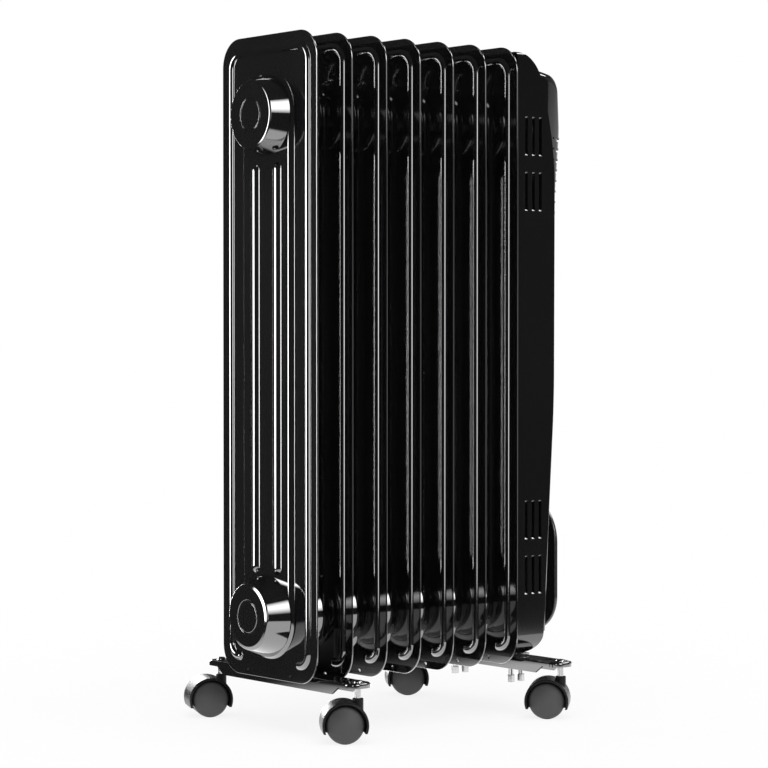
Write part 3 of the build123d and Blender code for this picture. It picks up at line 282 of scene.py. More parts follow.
oil_panel = bmesh.new()
corners = flat_sheet(oil_panel, rectangle(0, panel_radius, lower_axis - panel_radius, upper_axis + panel_radius))
panel_sheet = round_corners(oil_panel, corners, panel_corner, 20)
bmesh.ops.inset_region(
    oil_panel, faces=[panel_sheet], thickness=panel_lip, depth=panel_foot, use_boundary=True, use_even_offset=True
)
for step in range(panel_steps):
    lift = (cos(pi * step / panel_steps) - cos(pi * (step + 1) / panel_steps)) / 2
    bmesh.ops.inset_region(
        oil_panel, faces=[panel_sheet], thickness=panel_flank / panel_steps,
        depth=lift * (panel_face - panel_foot), use_even_offset=True,
    )
half_panel = oil_panel.verts[:] + oil_panel.edges[:] + oil_panel.faces[:]
bmesh.ops.mirror(oil_panel, geom=half_panel, axis="X", merge_dist=WELD)
bmesh.ops.recalc_face_normals(oil_panel, faces=oil_panel.faces)

ribs = [
    ridge(
        Vector((0, side * rib_spread, rib_low)), Z_AXIS, rib_width, rib_rise, panel_face,
        [(0, rib_high - rib_low, False)],
    )
    for side in (-1, 1)
]


def quarter(centre, radius, start, turn=90, steps=6):
    """Points of an arc in an outline, from a start angle through a turn, in degrees."""
    angles = [radians(start + turn * step / steps) for step in range(steps + 1)]
    return [(centre[0] + radius * cos(angle), centre[1] + radius * sin(angle)) for angle in angles]


def lathe(bm, outline, origin, axis, steps, closed=False, rounds=()):
    """Turns an outline of (distance along the axis, radius) pairs round the axis, some corners rounded first."""
    axis = Vector(axis).normalized()
    across = axis.orthogonal().normalized()
    older = set(bm.verts)
    verts = [bm.verts.new(Vector(origin) + along * axis + radius * across) for along, radius in outline]
    for pair in list(zip(verts, verts[1:])) + ([(verts[-1], verts[0])] if closed else []):
        bm.edges.new(pair)
    for corner, size in rounds:
        bmesh.ops.bevel(bm, geom=[verts[corner]], offset=size, segments=6, profile=0.5, affect="VERTICES", material=-1)
    verts = [vert for vert in bm.verts if vert not in older]
    edges = list(dict.fromkeys(edge for vert in verts for edge in vert.link_edges))
    bmesh.ops.spin(bm, geom=verts + edges, cent=origin, axis=axis, angle=2 * pi, steps=steps, use_merge=True)
    bmesh.ops.remove_doubles(bm, verts=bm.verts, dist=WELD)
    bmesh.ops.recalc_face_normals(bm, faces=bm.faces)


def both_sides(half):
    """Outline for the lathe that is alike on both sides of the origin, from its half."""
    return [(-along, radius) for along, radius in reversed(half)] + half


bosses = []
for boss_axis, (neck, waist) in boss_necks.items():
    boss = bmesh.new()
    shoulder = quarter((boss_reach - boss_shoulder, waist - boss_shoulder), boss_shoulder, 90, -90)
    half = [(panel_face - boss_root, neck), *shoulder, (boss_reach, 0)]
    lathe(boss, both_sides(half), (0, 0, boss_axis), X_AXIS, 72)
    bosses.append(boss)


def rod(bm, middle, radius, length, segments):
    """Round bar along X."""
    bmesh.ops.create_cone(
        bm, cap_ends=True, segments=segments, radius1=radius, radius2=radius, depth=length,
        matrix=Matrix.Translation(middle) @ Matrix.Rotation(pi / 2, 4, "Y"),
    )


drain_holes = bmesh.new()
for side in (-1, 1):
    rod(drain_holes, (0, side * drain_spread, fin_bottom + drain_lift), drain_radius, 4 * sheet, 20)


def new_object(name, bm, finish=None):
    """Object at the origin with this shape, which is used up."""
    mesh = bpy.data.meshes.new(name)
    bm.to_mesh(mesh)
    bm.free()
    if finish:
        mesh.materials.append(finish)
    made = bpy.data.objects.new(name, mesh)
    bpy.context.scene.collection.objects.link(made)
    return made


def combine(operation, base, *tools):
    """Boolean of closed shapes: joins the tools to the base, cuts them out of it, or keeps what they share."""
    blanks = [new_object("blank", shape) for shape in (base, *tools)]
    for tool in blanks[1:]:
        cut = blanks[0].modifiers.new("cut", "BOOLEAN")
        cut.operation, cut.solver, cut.object = operation, "EXACT", tool
    result = bmesh.new()
    result.from_object(blanks[0], bpy.context.evaluated_depsgraph_get())
    for blank in blanks:
        mesh = blank.data
        bpy.data.objects.remove(blank)
        bpy.data.meshes.remove(mesh)
    bmesh.ops.remove_doubles(result, verts=result.verts, dist=WELD)
    return result


fin_blank = combine("UNION", fin_plate, oil_panel, bead, *ribs, *bosses)
fin_blank = combine("DIFFERENCE", fin_blank, drain_holes)
smooth_limit = radians(32)


def piece(name, bm, finish, nodes, body="radiator"):
    """Brings a shape to metres as a finished piece that rides on a body and stands for its CAD nodes."""
    bmesh.ops.scale(bm, vec=(MM, MM, MM), verts=bm.verts)
    for face in bm.faces:
        face.smooth = True
    made = new_object(name, bm, finish)
    made.data.set_sharp_from_angle(angle=smooth_limit)
    made.modifiers.new("even_shading", "WEIGHTED_NORMAL").keep_sharp = True
    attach(made, body)
    if nodes:
        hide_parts(*nodes)


for fin_name in fin_names:
    fin = fin_blank.copy()
    bmesh.ops.translate(fin, verts=fin.verts, vec=sum(node_box(fin_name), Vector()).x / 2 * X_AXIS)
    piece(f"pressed_{fin_name}", fin, enamel, [fin_name])
fin_blank.free()

# End caps: two spun steel cups pressed over the end fin's bosses, the upper one flat and the lower one a deeper
# cone with a bevelled face, each with one ring struck in its face, enamelled with the fins.
cap_wall, cap_seat_x = 1.5, (fin_low.x + fin_high.x) / 2 - panel_face
cap_ring, cap_ring_width, cap_ring_depth, cap_ring_round = 15.0, 1.6, 0.6, 0.3


def cap(node, axis_z, foot, rim, bevel, face_radius, rounds):
    """Spun cup from its foot up a cone to its rim, over a bevel to its face, with the struck ring."""
    cap_face = node_box(node)[0].x
    ring_out, ring_in = cap_ring + cap_ring_width / 2, cap_ring - cap_ring_width / 2
    outline = [
        (cap_face + cap_wall, 0), (cap_face + bevel + cap_wall / 2, rim - cap_wall),
        (cap_seat_x, foot - cap_wall), (cap_seat_x, foot), (cap_face + bevel, rim), (cap_face, face_radius),
        (cap_face, ring_out), (cap_face + cap_ring_depth, ring_out - cap_ring_depth / 2),
        (cap_face + cap_ring_depth, ring_in + cap_ring_depth / 2), (cap_face, ring_in), (cap_face, 0),
    ]
    rounds = [*zip((4, 5), rounds), (6, cap_ring_round), (9, cap_ring_round)]
    bm = bmesh.new()
    lathe(bm, outline, (0, 0, axis_z), X_AXIS, 120, rounds=rounds)
    piece(f"spun_{node}", bm, enamel, [node])


cap("upper_end_cap", upper_axis, foot=37.4, rim=31.6, bevel=0.6, face_radius=29.8, rounds=(0.5, 0.4))
cap("lower_end_cap", lower_axis, foot=38.0, rim=30.4, bevel=0.8, face_radius=27.0, rounds=(1.0, 0.6))

# Inner steelwork: mounting plate, oil fill plug, element socket and the heating element's flange, cut and turned
# from bare mild steel that has picked up a faint bloom of oil. They are the CAD's own solids.
steel = new_finish(
    "bare_steel", {"Metallic": 1.0},
    colour=(60, 5, (0.30, 0.29, 0.28), (0.47, 0.46, 0.45)), gloss=(0.28, 0.25, 35, 4), grain=(1800, 2, 1e-5),
)


def coat_nodes(finish, nodes):
    """Gives CAD nodes that stay in view a finish in their own material slots."""
    for node in nodes:
        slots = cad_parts[node].material_slots
        if not slots:
            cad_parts[node].data.materials.append(finish)
        for material_slot in slots:
            material_slot.material = finish


coat_nodes(steel, ["mounting_plate", "oil_fill_plug", "element_socket", "heating_element"])

# Control housing: one gloss black moulding with roof, floor and side walls, open towards the fins, with four groups
# of three vent slots in each side and cut-outs in its floor for the strap that ties the foot bar.
housing_low, housing_high = node_box("control_housing")
last_fin_x = sum(corner.x for corner in node_box(fin_names[-1])) / 2
housing_back, housing_half, housing_wall = housing_low.x, housing_high.y, 2.5
housing_bottom, housing_top = housing_low.z, fin_top - 5.0
belly_z = fin_bottom + 253.0
# Corners of the side view: X from the last fin, height and radius
housing_points = {
    "foot": (37.6, housing_bottom, 22.0),
    "belly": (51.9, belly_z, 900.0),
    "shoulder": (52.6, fin_top - 106.0, 250.0),
    "temple": (43.1, fin_top - 57.0, 300.0),
    "brow": (28.1, housing_top, 34.0),
}
housing_side_round, housing_top_round, housing_edge = 20.0, 4.0, 1.3
front_lean, side_square = 0.3, 0.99  # least share of a normal along X and along Y
fascia_half, fascia_tip_x = housing_half - 2.0, last_fin_x + 23.8
window_frame, window_low, window_high = 8.0, fin_bottom + 45.0, fin_top - 32.0
vent_width, vent_half, vent_break, vent_break_depth, vent_overcut = 3.4, 34.3 / 2, 1.3, 0.9, 0.01
vent_columns = [last_fin_x + 16.2 + 8.85 * column for column in range(3)]
vent_rows = [fin_bottom + 85.7, fin_bottom + 138.7, fin_top - 138.0, fin_top - 85.0]
floor_cutouts = [(32.0, 51.5, 4.0), (26.0, 35.5, 22.0)]  # depth, half width and height
far_x = 260.0  # clear of the whole heater


def housing_form(inset, back):
    """Solid inside the housing's outer faces, drawn in by inset and reaching back to a given X."""
    half = housing_half - inset
    profile = bmesh.new()
    lift = {"foot": inset, "brow": -inset}
    front = [(last_fin_x + x - inset, z + lift.get(name, 0)) for name, (x, z, _) in housing_points.items()]
    outline = [(back, housing_bottom + inset), *front, (back, housing_top - inset)]
    corners = flat_sheet(profile, [(x, -half, z) for x, z in outline])
    for corner, (_, _, radius) in zip(corners[1:-1], housing_points.values()):
        face = round_corners(profile, [corner], radius - inset, 12)
    thicken(profile, face, 2 * half * Y_AXIS)

    section = bmesh.new()
    corners = flat_sheet(section, rectangle(back - 1, half, housing_bottom + inset, housing_top - inset))
    round_corners(section, corners[:2], housing_side_round - inset, 10)
    thicken(section, round_corners(section, corners[2:], housing_top_round - inset, 4), (far_x - back) * X_AXIS)
    form = combine("INTERSECT", profile, section)
    if not inset:
        front_edges = [
            edge
            for edge in sharp_edges(form)
            if max(face.normal.x for face in edge.link_faces) > front_lean
            and max(abs(face.normal.y) for face in edge.link_faces) > side_square
        ]
        soften(form, front_edges, housing_edge, 3)
    return form


def block(bm, low, high):
    """Plain cutter between two corners."""
    low, high = Vector(low), Vector(high)
    place = Matrix.Translation((low + high) / 2) @ Matrix.Diagonal((*(high - low), 1))
    bmesh.ops.create_cube(bm, size=1, matrix=place)


housing_openings = bmesh.new()
block(
    housing_openings,
    (fascia_tip_x, window_frame - fascia_half, window_low),
    (far_x, fascia_half - window_frame, window_high),
)
floor_cuts = []
for depth, half, height in floor_cutouts:
    floor_cuts.append(bmesh.new())
    block(
        floor_cuts[-1],
        (housing_back - 1, -half, housing_bottom - 1), (housing_back + depth, half, housing_bottom + height),
    )
vents = bmesh.new()
vent_section = [
    (-vent_overcut, -vent_half - vent_break), (vent_break_depth, -vent_half), (2 * housing_wall, -vent_half),
    (2 * housing_wall, vent_half), (vent_break_depth, vent_half), (-vent_overcut, vent_half + vent_break),
]
for vent_x in vent_columns:
    for vent_z in vent_rows:
        for side in (-1, 1):
            corners = flat_sheet(
                vents,
                [
                    (vent_x - vent_width / 2, side * (housing_half - depth), vent_z + reach)
                    for depth, reach in vent_section
                ],
            )
            thicken(vents, corners[0].link_faces[0], vent_width * X_AXIS)
housing = combine(
    "DIFFERENCE",
    housing_form(0, housing_back), housing_form(housing_wall, housing_back - 2), housing_openings, *floor_cuts, vents,
)

# Gloss black moulded plastic: a polished tool surface with faint flow unevenness
gloss_plastic = new_finish(
    "black_gloss_plastic", {"IOR": 1.55, "Coat Weight": 0.3, "Coat Roughness": 0.05},
    colour=(7, 2, (0.004, 0.004, 0.0045), (0.008, 0.008, 0.009)), gloss=(0.07, 0.06, 11, 4), grain=(40, 1, 2e-6),
)
piece("moulded_housing", housing, gloss_plastic, ["control_housing"])

# Front panel: one gloss black moulding that lies on the housing's window frame, with rounded sides, eight louvres
# under its crest, an opening for the hand grip and holes for the controls.
fascia_bottom = node_box("front_panel")[0].z
fascia_wall, fascia_edge, fascia_margin, seat_gap = 2.5, 8.6, 0.5, 0.15
fascia_points = {
    "toe": (46.8, fascia_bottom, None),
    "belly": (57.1, belly_z, 900.0),
    "waist": (59.3, fin_top - 152.0, 300.0),
    "crest": (70.5, fin_top - 80.0, 60.0),
    "brow": (66.2, fin_top - 26.0, 20.0),
}
fascia_tip_z, fascia_toe_round = fin_top - 18.0, 2.0
cheek_x, cheek_depth, cheek_low, cheek_rise, cheek_taper = last_fin_x + 41.0, 23.0, fin_top - 240.0, 150.0, 0.08
cheek_slices, cheek_slice, cheek_start, cheek_levels = 7, 3.0, 0.7, 9
louvre_count, louvre_pitch, louvre_height, louvre_x, louvre_top = 8, 10.3, 2.4, last_fin_x + 54.3, fin_top - 87.0
louvre_half, lip_height, lip_rise, louvre_skin = fascia_half - 3.0, 1.6, 0.9, 0.6
grip_half, grip_half_height, grip_corner, grip_z = 45.0, 15.0, 10.0, fin_top - 55.0


def fascia_form(inset):
    """Solid inside the front panel's outer faces, drawn in by inset."""
    half = fascia_half - inset
    bm = bmesh.new()
    lift = {"toe": inset}
    front = [(last_fin_x + x - inset, z + lift.get(name, 0)) for name, (x, z, _) in fascia_points.items()]
    tip, foot = fascia_tip_x + inset, fascia_bottom + inset
    outline = [(tip, foot), *front, (tip, fascia_tip_z - inset)]
    corners = flat_sheet(bm, [(x, -half, z) for x, z in outline])
    face = None
    for corner, (_, _, radius) in zip(corners[1:-1], fascia_points.values()):
        if radius:
            face = round_corners(bm, [corner], radius, 10)
    thicken(bm, face, 2 * half * Y_AXIS)

    def on_front(edge):
        middle = (edge.verts[0].co + edge.verts[1].co) / 2
        along_side = abs(edge.verts[0].co.y - edge.verts[1].co.y) < WELD
        return along_side and middle.x > tip + fascia_margin and middle.z > foot + fascia_margin

    soften(bm, [edge for edge in bm.edges if on_front(edge)], fascia_edge - inset, 8)
    toe = [
        edge
        for edge in sharp_edges(bm)
        if all(vert.co.z < foot + 10 * WELD and vert.co.x > tip + fascia_margin for vert in edge.verts)
    ]
    soften(bm, toe, fascia_toe_round, 3)
    whole = bm.verts[:] + bm.edges[:] + bm.faces[:]
    slices = [((cheek_x + step * cheek_slice + cheek_start, 0, 0), X_AXIS) for step in range(cheek_slices)]
    levels = [((0, 0, cheek_low + step * cheek_rise / (cheek_levels - 1)), Z_AXIS) for step in range(cheek_levels)]
    for point, normal in slices + levels:
        whole = bmesh.ops.bisect_plane(bm, geom=whole, plane_co=point, plane_no=normal)["geom"]
    for vert in bm.verts:
        ahead = max(0.0, (vert.co.x - cheek_x) / cheek_depth)
        height = min(1.0, max(0.0, (vert.co.z - cheek_low) / cheek_rise))
        vert.co.y *= 1 - cheek_taper * ahead**2 * (3 - 2 * height) * height**2
    return bm


def face_x(z):
    """X of the front panel's outer face at a height below its crest."""
    lower, upper = ("toe", "belly") if z < belly_z else ("belly", "waist")
    (low_x, low_z, _), (high_x, high_z, _) = fascia_points[lower], fascia_points[upper]
    return last_fin_x + low_x + (high_x - low_x) * (z - low_z) / (high_z - low_z)


def rounded_slab(bm, corners, radius, segments, move):
    """Slab cut from a sheet whose corners all have one radius."""
    thicken(bm, round_corners(bm, flat_sheet(bm, corners), radius, segments), move)


knob_z, lamp_z, gland_z = (middle_height(node) for node in ("thermostat_knob", "pilot_lamp", "cord_gland"))
switch_flange, bush_hole, lamp_hole, gland_hole = 2.0, 6.3, 4.05, 6.55

louvres, lips = bmesh.new(), bmesh.new()
for row in range(louvre_count):
    middle = louvre_top - row * louvre_pitch
    low, high = middle - louvre_height / 2, middle + louvre_height / 2
    block(louvres, (louvre_x, -louvre_half, low), (far_x, louvre_half, high))
    block(lips, (louvre_x, -far_x, high), (far_x, far_x, high + lip_height))
louvres = combine("DIFFERENCE", louvres, fascia_form(fascia_wall - louvre_skin))
panel_openings = bmesh.new()
rounded_slab(
    panel_openings, rectangle(housing_back, grip_half, grip_z - grip_half_height, grip_z + grip_half_height),
    grip_corner, 8, far_x * X_AXIS,
)
for hole_z, hole in ((knob_z, bush_hole), (lamp_z, lamp_hole), (gland_z, gland_hole)):
    rod(panel_openings, (housing_back + far_x, 0, hole_z), hole, 2 * far_x, 40)
for side in ("left", "right"):
    low, high = node_box(f"switch_frame_{side}")
    block(
        panel_openings,
        (housing_back, low.y + switch_flange, low.z + switch_flange),
        (far_x, high.y - switch_flange, high.z - switch_flange),
    )
panel = combine("UNION", fascia_form(0), combine("INTERSECT", fascia_form(-lip_rise), lips))
panel = combine(
    "DIFFERENCE", panel, fascia_form(fascia_wall), housing_form(-seat_gap, housing_back - 1), louvres, panel_openings
)
piece("moulded_front_panel", panel, gloss_plastic, ["front_panel"])

# Hand grip: a moulded cup behind the opening at the top of the panel, in the panel's own gloss black plastic, clipped
# in from the back.
facet_weld, facet_turn, edge_turn, edge_steps = 1e-6, 1, 30, 2


def softened(node, offset):
    """Copy of a CAD node in millimetres, its facets merged and its sharp edges rounded."""
    bm = bmesh.new()
    bm.from_mesh(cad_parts[node].data)
    bmesh.ops.remove_doubles(bm, verts=bm.verts, dist=facet_weld)
    bmesh.ops.dissolve_limit(bm, angle_limit=radians(facet_turn), verts=bm.verts, edges=bm.edges)
    bmesh.ops.scale(bm, vec=(1 / MM, 1 / MM, 1 / MM), verts=bm.verts)
    if offset:
        soften(bm, sharp_edges(bm, edge_turn), offset, edge_steps)
    return bm


piece("soft_grip_cup", softened("grip_cup", 0.5), gloss_plastic, ["grip_cup"])

# Thermostat: a body behind the panel, a dial ring on it, and a fluted knob pushed on the steel shaft. The ring
# and the knob are gloss black mouldings, with a pointer and a scale from 1 to 6 hot-stamped in silver foil.
ring_high = node_box("dial_ring")[1]
knob_low, knob_high = node_box("thermostat_knob")
dial_back, dial_radius, dial_chamfer, dial_bore, dial_edge = face_x(knob_z) - 1.0, ring_high.y, 2.5, 6.0, 0.4
knob_radius, knob_taper, knob_round, knob_flutes, knob_flute, flute_length = 22.0, 2.0, 2.0, 16, 1.6, 60.0

dial = bmesh.new()
lathe(
    dial,
    [
        (dial_back, dial_bore), (dial_back, dial_radius), (ring_high.x - dial_chamfer, dial_radius),
        (ring_high.x, dial_radius - dial_chamfer), (ring_high.x, dial_bore),
    ],
    (0, 0, knob_z), X_AXIS, 96, closed=True,
)
soften(dial, sharp_edges(dial, edge_turn), dial_edge, 3)
piece("turned_dial_ring", dial, gloss_plastic, ["dial_ring"])

foil_gauge = 0.12
knob_face = knob_high.x - foil_gauge
knob = bmesh.new()
rim = quarter((knob_face - knob_round, knob_radius - knob_taper - knob_round), knob_round, 90, -90)
lathe(knob, [(knob_low.x, 0), (knob_low.x, knob_radius), *rim, (knob_face, 0)], (0, 0, knob_z), X_AXIS, 96)
flutes = bmesh.new()
for flute in range(knob_flutes):
    turn = 2 * pi * flute / knob_flutes
    flute_y, flute_z = knob_radius * sin(turn), knob_z + knob_radius * cos(turn)
    rod(flutes, (knob_low.x + knob_taper + flute_length / 2, flute_y, flute_z), knob_flute, flute_length, 20)
knob = combine("DIFFERENCE", knob, flutes)
piece("fluted_knob", knob, gloss_plastic, ["thermostat_knob"], "thermostat")

zinc = new_finish(
    "bright_zinc", {"Metallic": 1.0},
    colour=(90, 4, (0.24, 0.245, 0.25), (0.34, 0.34, 0.335)), gloss=(0.12, 0.14, 160, 4), grain=(2500, 2, 6e-6),
)
coat_nodes(zinc, ["thermostat_shaft"])

foil = new_finish(
    "silver_foil", {"Metallic": 1.0},
    colour=(400, 2, (0.72,) * 3, (0.82,) * 3), gloss=(0.34, 0.10, 700, 2),
)
scale_numbers, scale_turn, scale_height, scale_gap = 6, 270.0, 6.0, 6.8
tick_gap, tick_length, tick_width = 2.4, 2.4, 0.8
pointer_reach, pointer_length, pointer_width = 13.0, 9.0, 1.6


def stamp(bm, letters, height, spot, normal):
    """Foil letters on a face, upright as seen from in front of it."""
    curve = bpy.data.curves.new("letters", "FONT")
    curve.body, curve.size, curve.extrude = letters, height, foil_gauge
    curve.align_x, curve.align_y = "CENTER", "CENTER"
    blank = bpy.data.objects.new("letters", curve)
    bpy.context.scene.collection.objects.link(blank)
    mesh = bpy.data.meshes.new_from_object(blank.evaluated_get(bpy.context.evaluated_depsgraph_get()))
    across = Z_AXIS.cross(normal).normalized()
    mesh.transform(Matrix.Translation(spot) @ Matrix((across, normal.cross(across), normal)).transposed().to_4x4())
    bm.from_mesh(mesh)
    bpy.data.objects.remove(blank)
    bpy.data.curves.remove(curve)
    bpy.data.meshes.remove(mesh)
    bmesh.ops.remove_doubles(bm, verts=bm.verts, dist=WELD)


def foil_bar(bm, spot, turn, width, length):
    """Foil bar on a face that looks along X, turned from upright."""
    size = Matrix.Diagonal((2 * foil_gauge, width, length, 1))
    bmesh.ops.create_cube(bm, size=1, matrix=Matrix.Translation(spot) @ Matrix.Rotation(-turn, 4, "X") @ size)


dial_marks = bmesh.new()
for number in range(scale_numbers):
    turn = radians(scale_turn * (number / (scale_numbers - 1) - 0.5))
    outward = Vector((0, sin(turn), cos(turn)))
    for gap, letters in ((tick_gap, None), (scale_gap, str(number + 1))):
        spot = knob_z * Z_AXIS + (dial_radius + gap) * outward
        spot.x = face_x(spot.z)
        if letters:
            stamp(dial_marks, letters, scale_height, spot, X_AXIS)
        else:
            foil_bar(dial_marks, spot, turn, tick_width, tick_length)
piece("dial_marks", dial_marks, foil, [])
pointer, least_turn = bmesh.new(), radians(-scale_turn / 2)
spot = Vector((knob_face, pointer_reach * sin(least_turn), knob_z + pointer_reach * cos(least_turn)))
foil_bar(pointer, spot, least_turn, pointer_width, pointer_length)
piece("knob_pointer", pointer, foil, [], "thermostat")

# Power switches: two rockers, each on two trunnions in a frame that snaps into the panel, in a satin black plastic,
# with plain on and off marks stamped in the same foil as the dial's.
switch_plastic = new_finish(
    "switch_plastic", {"IOR": 1.5},
    colour=(50, 3, (0.010,) * 3, (0.018,) * 3), gloss=(0.26, 0.14, 400, 3), grain=(3000, 1, 8e-6),
)
frame_edge, rocker_edge, rocker_mark, rocker_mark_height = 0.3, 0.4, 6.0, 4.0
for side in ("left", "right"):
    frame_node, rocker_node = f"switch_frame_{side}", f"rocker_{side}"
    piece(f"soft_frame_{side}", softened(frame_node, frame_edge), switch_plastic, [frame_node])
    rocker = softened(rocker_node, rocker_edge)
    middle = sum(node_box(rocker_node), Vector()) / 2
    rocker_face = BVHTree.FromBMesh(rocker)
    on_off = bmesh.new()
    for letter, lift in (("I", rocker_mark), ("O", -rocker_mark)):
        spot, normal, _, _ = rocker_face.ray_cast(Vector((far_x, middle.y, middle.z + lift)), -X_AXIS)
        stamp(on_off, letter, rocker_mark_height, spot, normal)
    piece(f"soft_{rocker_node}", rocker, switch_plastic, [rocker_node], rocker_node)
    piece(f"rocker_marks_{side}", on_off, foil, [], rocker_node)

# Pilot lamp: a domed lens moulded in clear amber plastic, pushed into the panel under the dial. It is the CAD's own
# solid.
lens = new_finish(
    "lamp_lens", {"IOR": 1.55, "Coat Weight": 0.5, "Transmission Weight": 0.25},
    colour=(700, 2, (0.55, 0.13, 0.02), (0.75, 0.22, 0.04)), gloss=(0.08, 0.08, 900, 2),
)
coat_nodes(lens, ["pilot_lamp"])

# Cord gland and cord winder: a tapered gland in the panel, and a shield shaped plate on a hub that the lead is wound
# round, both in matt black plastic, the winder held by two countersunk zinc screws.
matte_plastic = new_finish(
    "black_matte_plastic", {"IOR": 1.5},
    colour=(40, 3, (0.009,) * 3, (0.017,) * 3), gloss=(0.16, 0.10, 300, 3), grain=(2200, 1, 3e-6),
)
winder_low, winder_high = node_box("cord_winder")
winder_gauge, winder_edge, winder_top_corner, winder_low_corner = 4.0, 1.5, 45.0, 35.0
winder_half, winder_z = winder_high.y, middle_height("cord_winder")
winder_back = winder_high.x - winder_gauge
hub_half, hub_half_height, hub_corner, hub_overlap = 30.0, 35.0, 20.0, 1.0
hub_foot = face_x(winder_z) + 1.0

winder = bmesh.new()
corners = flat_sheet(winder, rectangle(winder_back, winder_half, winder_low.z, winder_high.z))
round_corners(winder, corners[:2], winder_low_corner, 16)
thicken(winder, round_corners(winder, corners[2:], winder_top_corner, 16), winder_gauge * X_AXIS)
soften(winder, sharp_edges(winder, 60), winder_edge, 5)
hub = bmesh.new()
rounded_slab(
    hub, rectangle(hub_foot, hub_half, winder_z - hub_half_height, winder_z + hub_half_height),
    hub_corner, 10, (winder_back + hub_overlap - hub_foot) * X_AXIS,
)
screw_low, screw_high = node_box("winder_screws")
screw_head, screw_shank, screw_clearance = screw_high.y, 1.75, 0.15
screw_sink = screw_head - screw_shank
sink_floor, sink_radius = winder_high.x - screw_sink, screw_head + screw_clearance
recess_half, recess_width, recess_depth = 2.4, 0.9, 1.2
sinks, screws, flat_slots, upright_slots = bmesh.new(), bmesh.new(), bmesh.new(), bmesh.new()
for screw_z in (screw_low.z + screw_head, screw_high.z - screw_head):
    lathe(
        sinks,
        [
            (sink_floor, 0), (sink_floor, screw_shank + screw_clearance), (winder_high.x, sink_radius),
            (winder_high.x + 1, sink_radius), (winder_high.x + 1, 0),
        ],
        (0, 0, screw_z), X_AXIS, 32,
    )
    lathe(
        screws,
        [
            (screw_low.x, 0), (screw_low.x, screw_shank), (screw_high.x - screw_sink, screw_shank),
            (screw_high.x, screw_head), (screw_high.x, 0),
        ],
        (0, 0, screw_z), X_AXIS, 32,
    )
    for slots, half_y, half_z in (
        (flat_slots, recess_half, recess_width / 2), (upright_slots, recess_width / 2, recess_half)
    ):
        recess_floor = (screw_high.x - recess_depth, -half_y, screw_z - half_z)
        block(slots, recess_floor, (screw_high.x + 1, half_y, screw_z + half_z))
winder = combine("DIFFERENCE", combine("UNION", winder, hub), sinks)
piece("shield_winder", winder, matte_plastic, ["cord_winder"])
piece("soft_gland", softened("cord_gland", 0.4), matte_plastic, ["cord_gland"])
screws = combine("DIFFERENCE", combine("DIFFERENCE", screws, flat_slots), upright_slots)
piece("cross_screws", screws, zinc, ["winder_screws"])

# Foot bars: two stamped steel channels across the heater, with a deep skirt between tapered ends, an oval slot near
# each end and rolled upper edges, enamelled with the fins.
bar_width, bar_corner, bar_gauge, bar_roll = 26.0, 10.0, 2.0, 2.2
bar_skirt, bar_end_skirt, bar_taper_start, bar_taper_end = 12.0, 5.0, 30.0, 20.0
bar_slot_inset, bar_slot_half, bar_slot_half_width = 25.0, 7.0, 2.5
bar_slot_corner = 0.999 * bar_slot_half_width
wedge_run, wedge_drop, wedge_end = 2.0, 1.4, 1.0


def level_rectangle(x, y, z, half_width, half_length):
    """Corners of a level rectangle round a middle, its width along X."""
    return [
        (x - half_width, y - half_length, z), (x + half_width, y - half_length, z),
        (x + half_width, y + half_length, z), (x - half_width, y + half_length, z),
    ]


for node in ("end_foot_bar", "front_foot_bar"):
    low, high = node_box(node)
    bar_x, bar_half, bar_top, bar_foot = (low.x + high.x) / 2, high.y, high.z, high.z - bar_skirt
    bar = bmesh.new()
    rounded_slab(bar, level_rectangle(bar_x, 0, bar_foot, bar_width / 2, bar_half), bar_corner, 10, bar_skirt * Z_AXIS)
    upper = [edge for edge in sharp_edges(bar) if all(vert.co.z > bar_top - 10 * WELD for vert in edge.verts)]
    soften(bar, upper, bar_roll, 5)
    inside = bmesh.new()
    rounded_slab(
        inside, level_rectangle(bar_x, 0, bar_foot - 1, bar_width / 2 - bar_gauge, bar_half - bar_gauge),
        bar_corner - bar_gauge, 10, (bar_skirt + 1 - bar_gauge) * Z_AXIS,
    )
    ends, slots = bmesh.new(), bmesh.new()
    for side in (-1, 1):
        wedge = flat_sheet(
            ends,
            [
                (bar_x - bar_width, side * y, z)
                for y, z in (
                    (bar_half - bar_taper_start - wedge_run, bar_foot - wedge_drop),
                    (bar_half - bar_taper_end, bar_top - bar_end_skirt),
                    (bar_half + wedge_end, bar_top - bar_end_skirt),
                    (bar_half + wedge_end, bar_foot - wedge_drop),
                )
            ],
        )
        thicken(ends, wedge[0].link_faces[0], 2 * bar_width * X_AXIS)
        slot_y = side * (bar_half - bar_slot_inset)
        rounded_slab(
            slots, level_rectangle(bar_x, slot_y, bar_top - 2 * bar_gauge, bar_slot_half_width, bar_slot_half),
            bar_slot_corner, 8, 4 * bar_gauge * Z_AXIS,
        )
    piece(f"stamped_{node}", combine("DIFFERENCE", bar, inside, ends, slots), enamel, [node])

# Ties: a bent U-bolt over the end collector and a strap over the element socket, with steel cradles under both, studs
# through the front bar and hexagon nuts below, all zinc plated but for the cradles.
coat_nodes(steel, ["end_cradle", "front_cradle"])
tie_edges = {"end_u_bolt": 0, "front_strap": 0.3, "strap_studs": 0.4, "strap_nuts": 0.4, "end_u_bolt_nuts": 0.4}
for tie, tie_edge in tie_edges.items():
    piece(f"plated_{tie}", softened(tie, tie_edge), zinc, [tie])

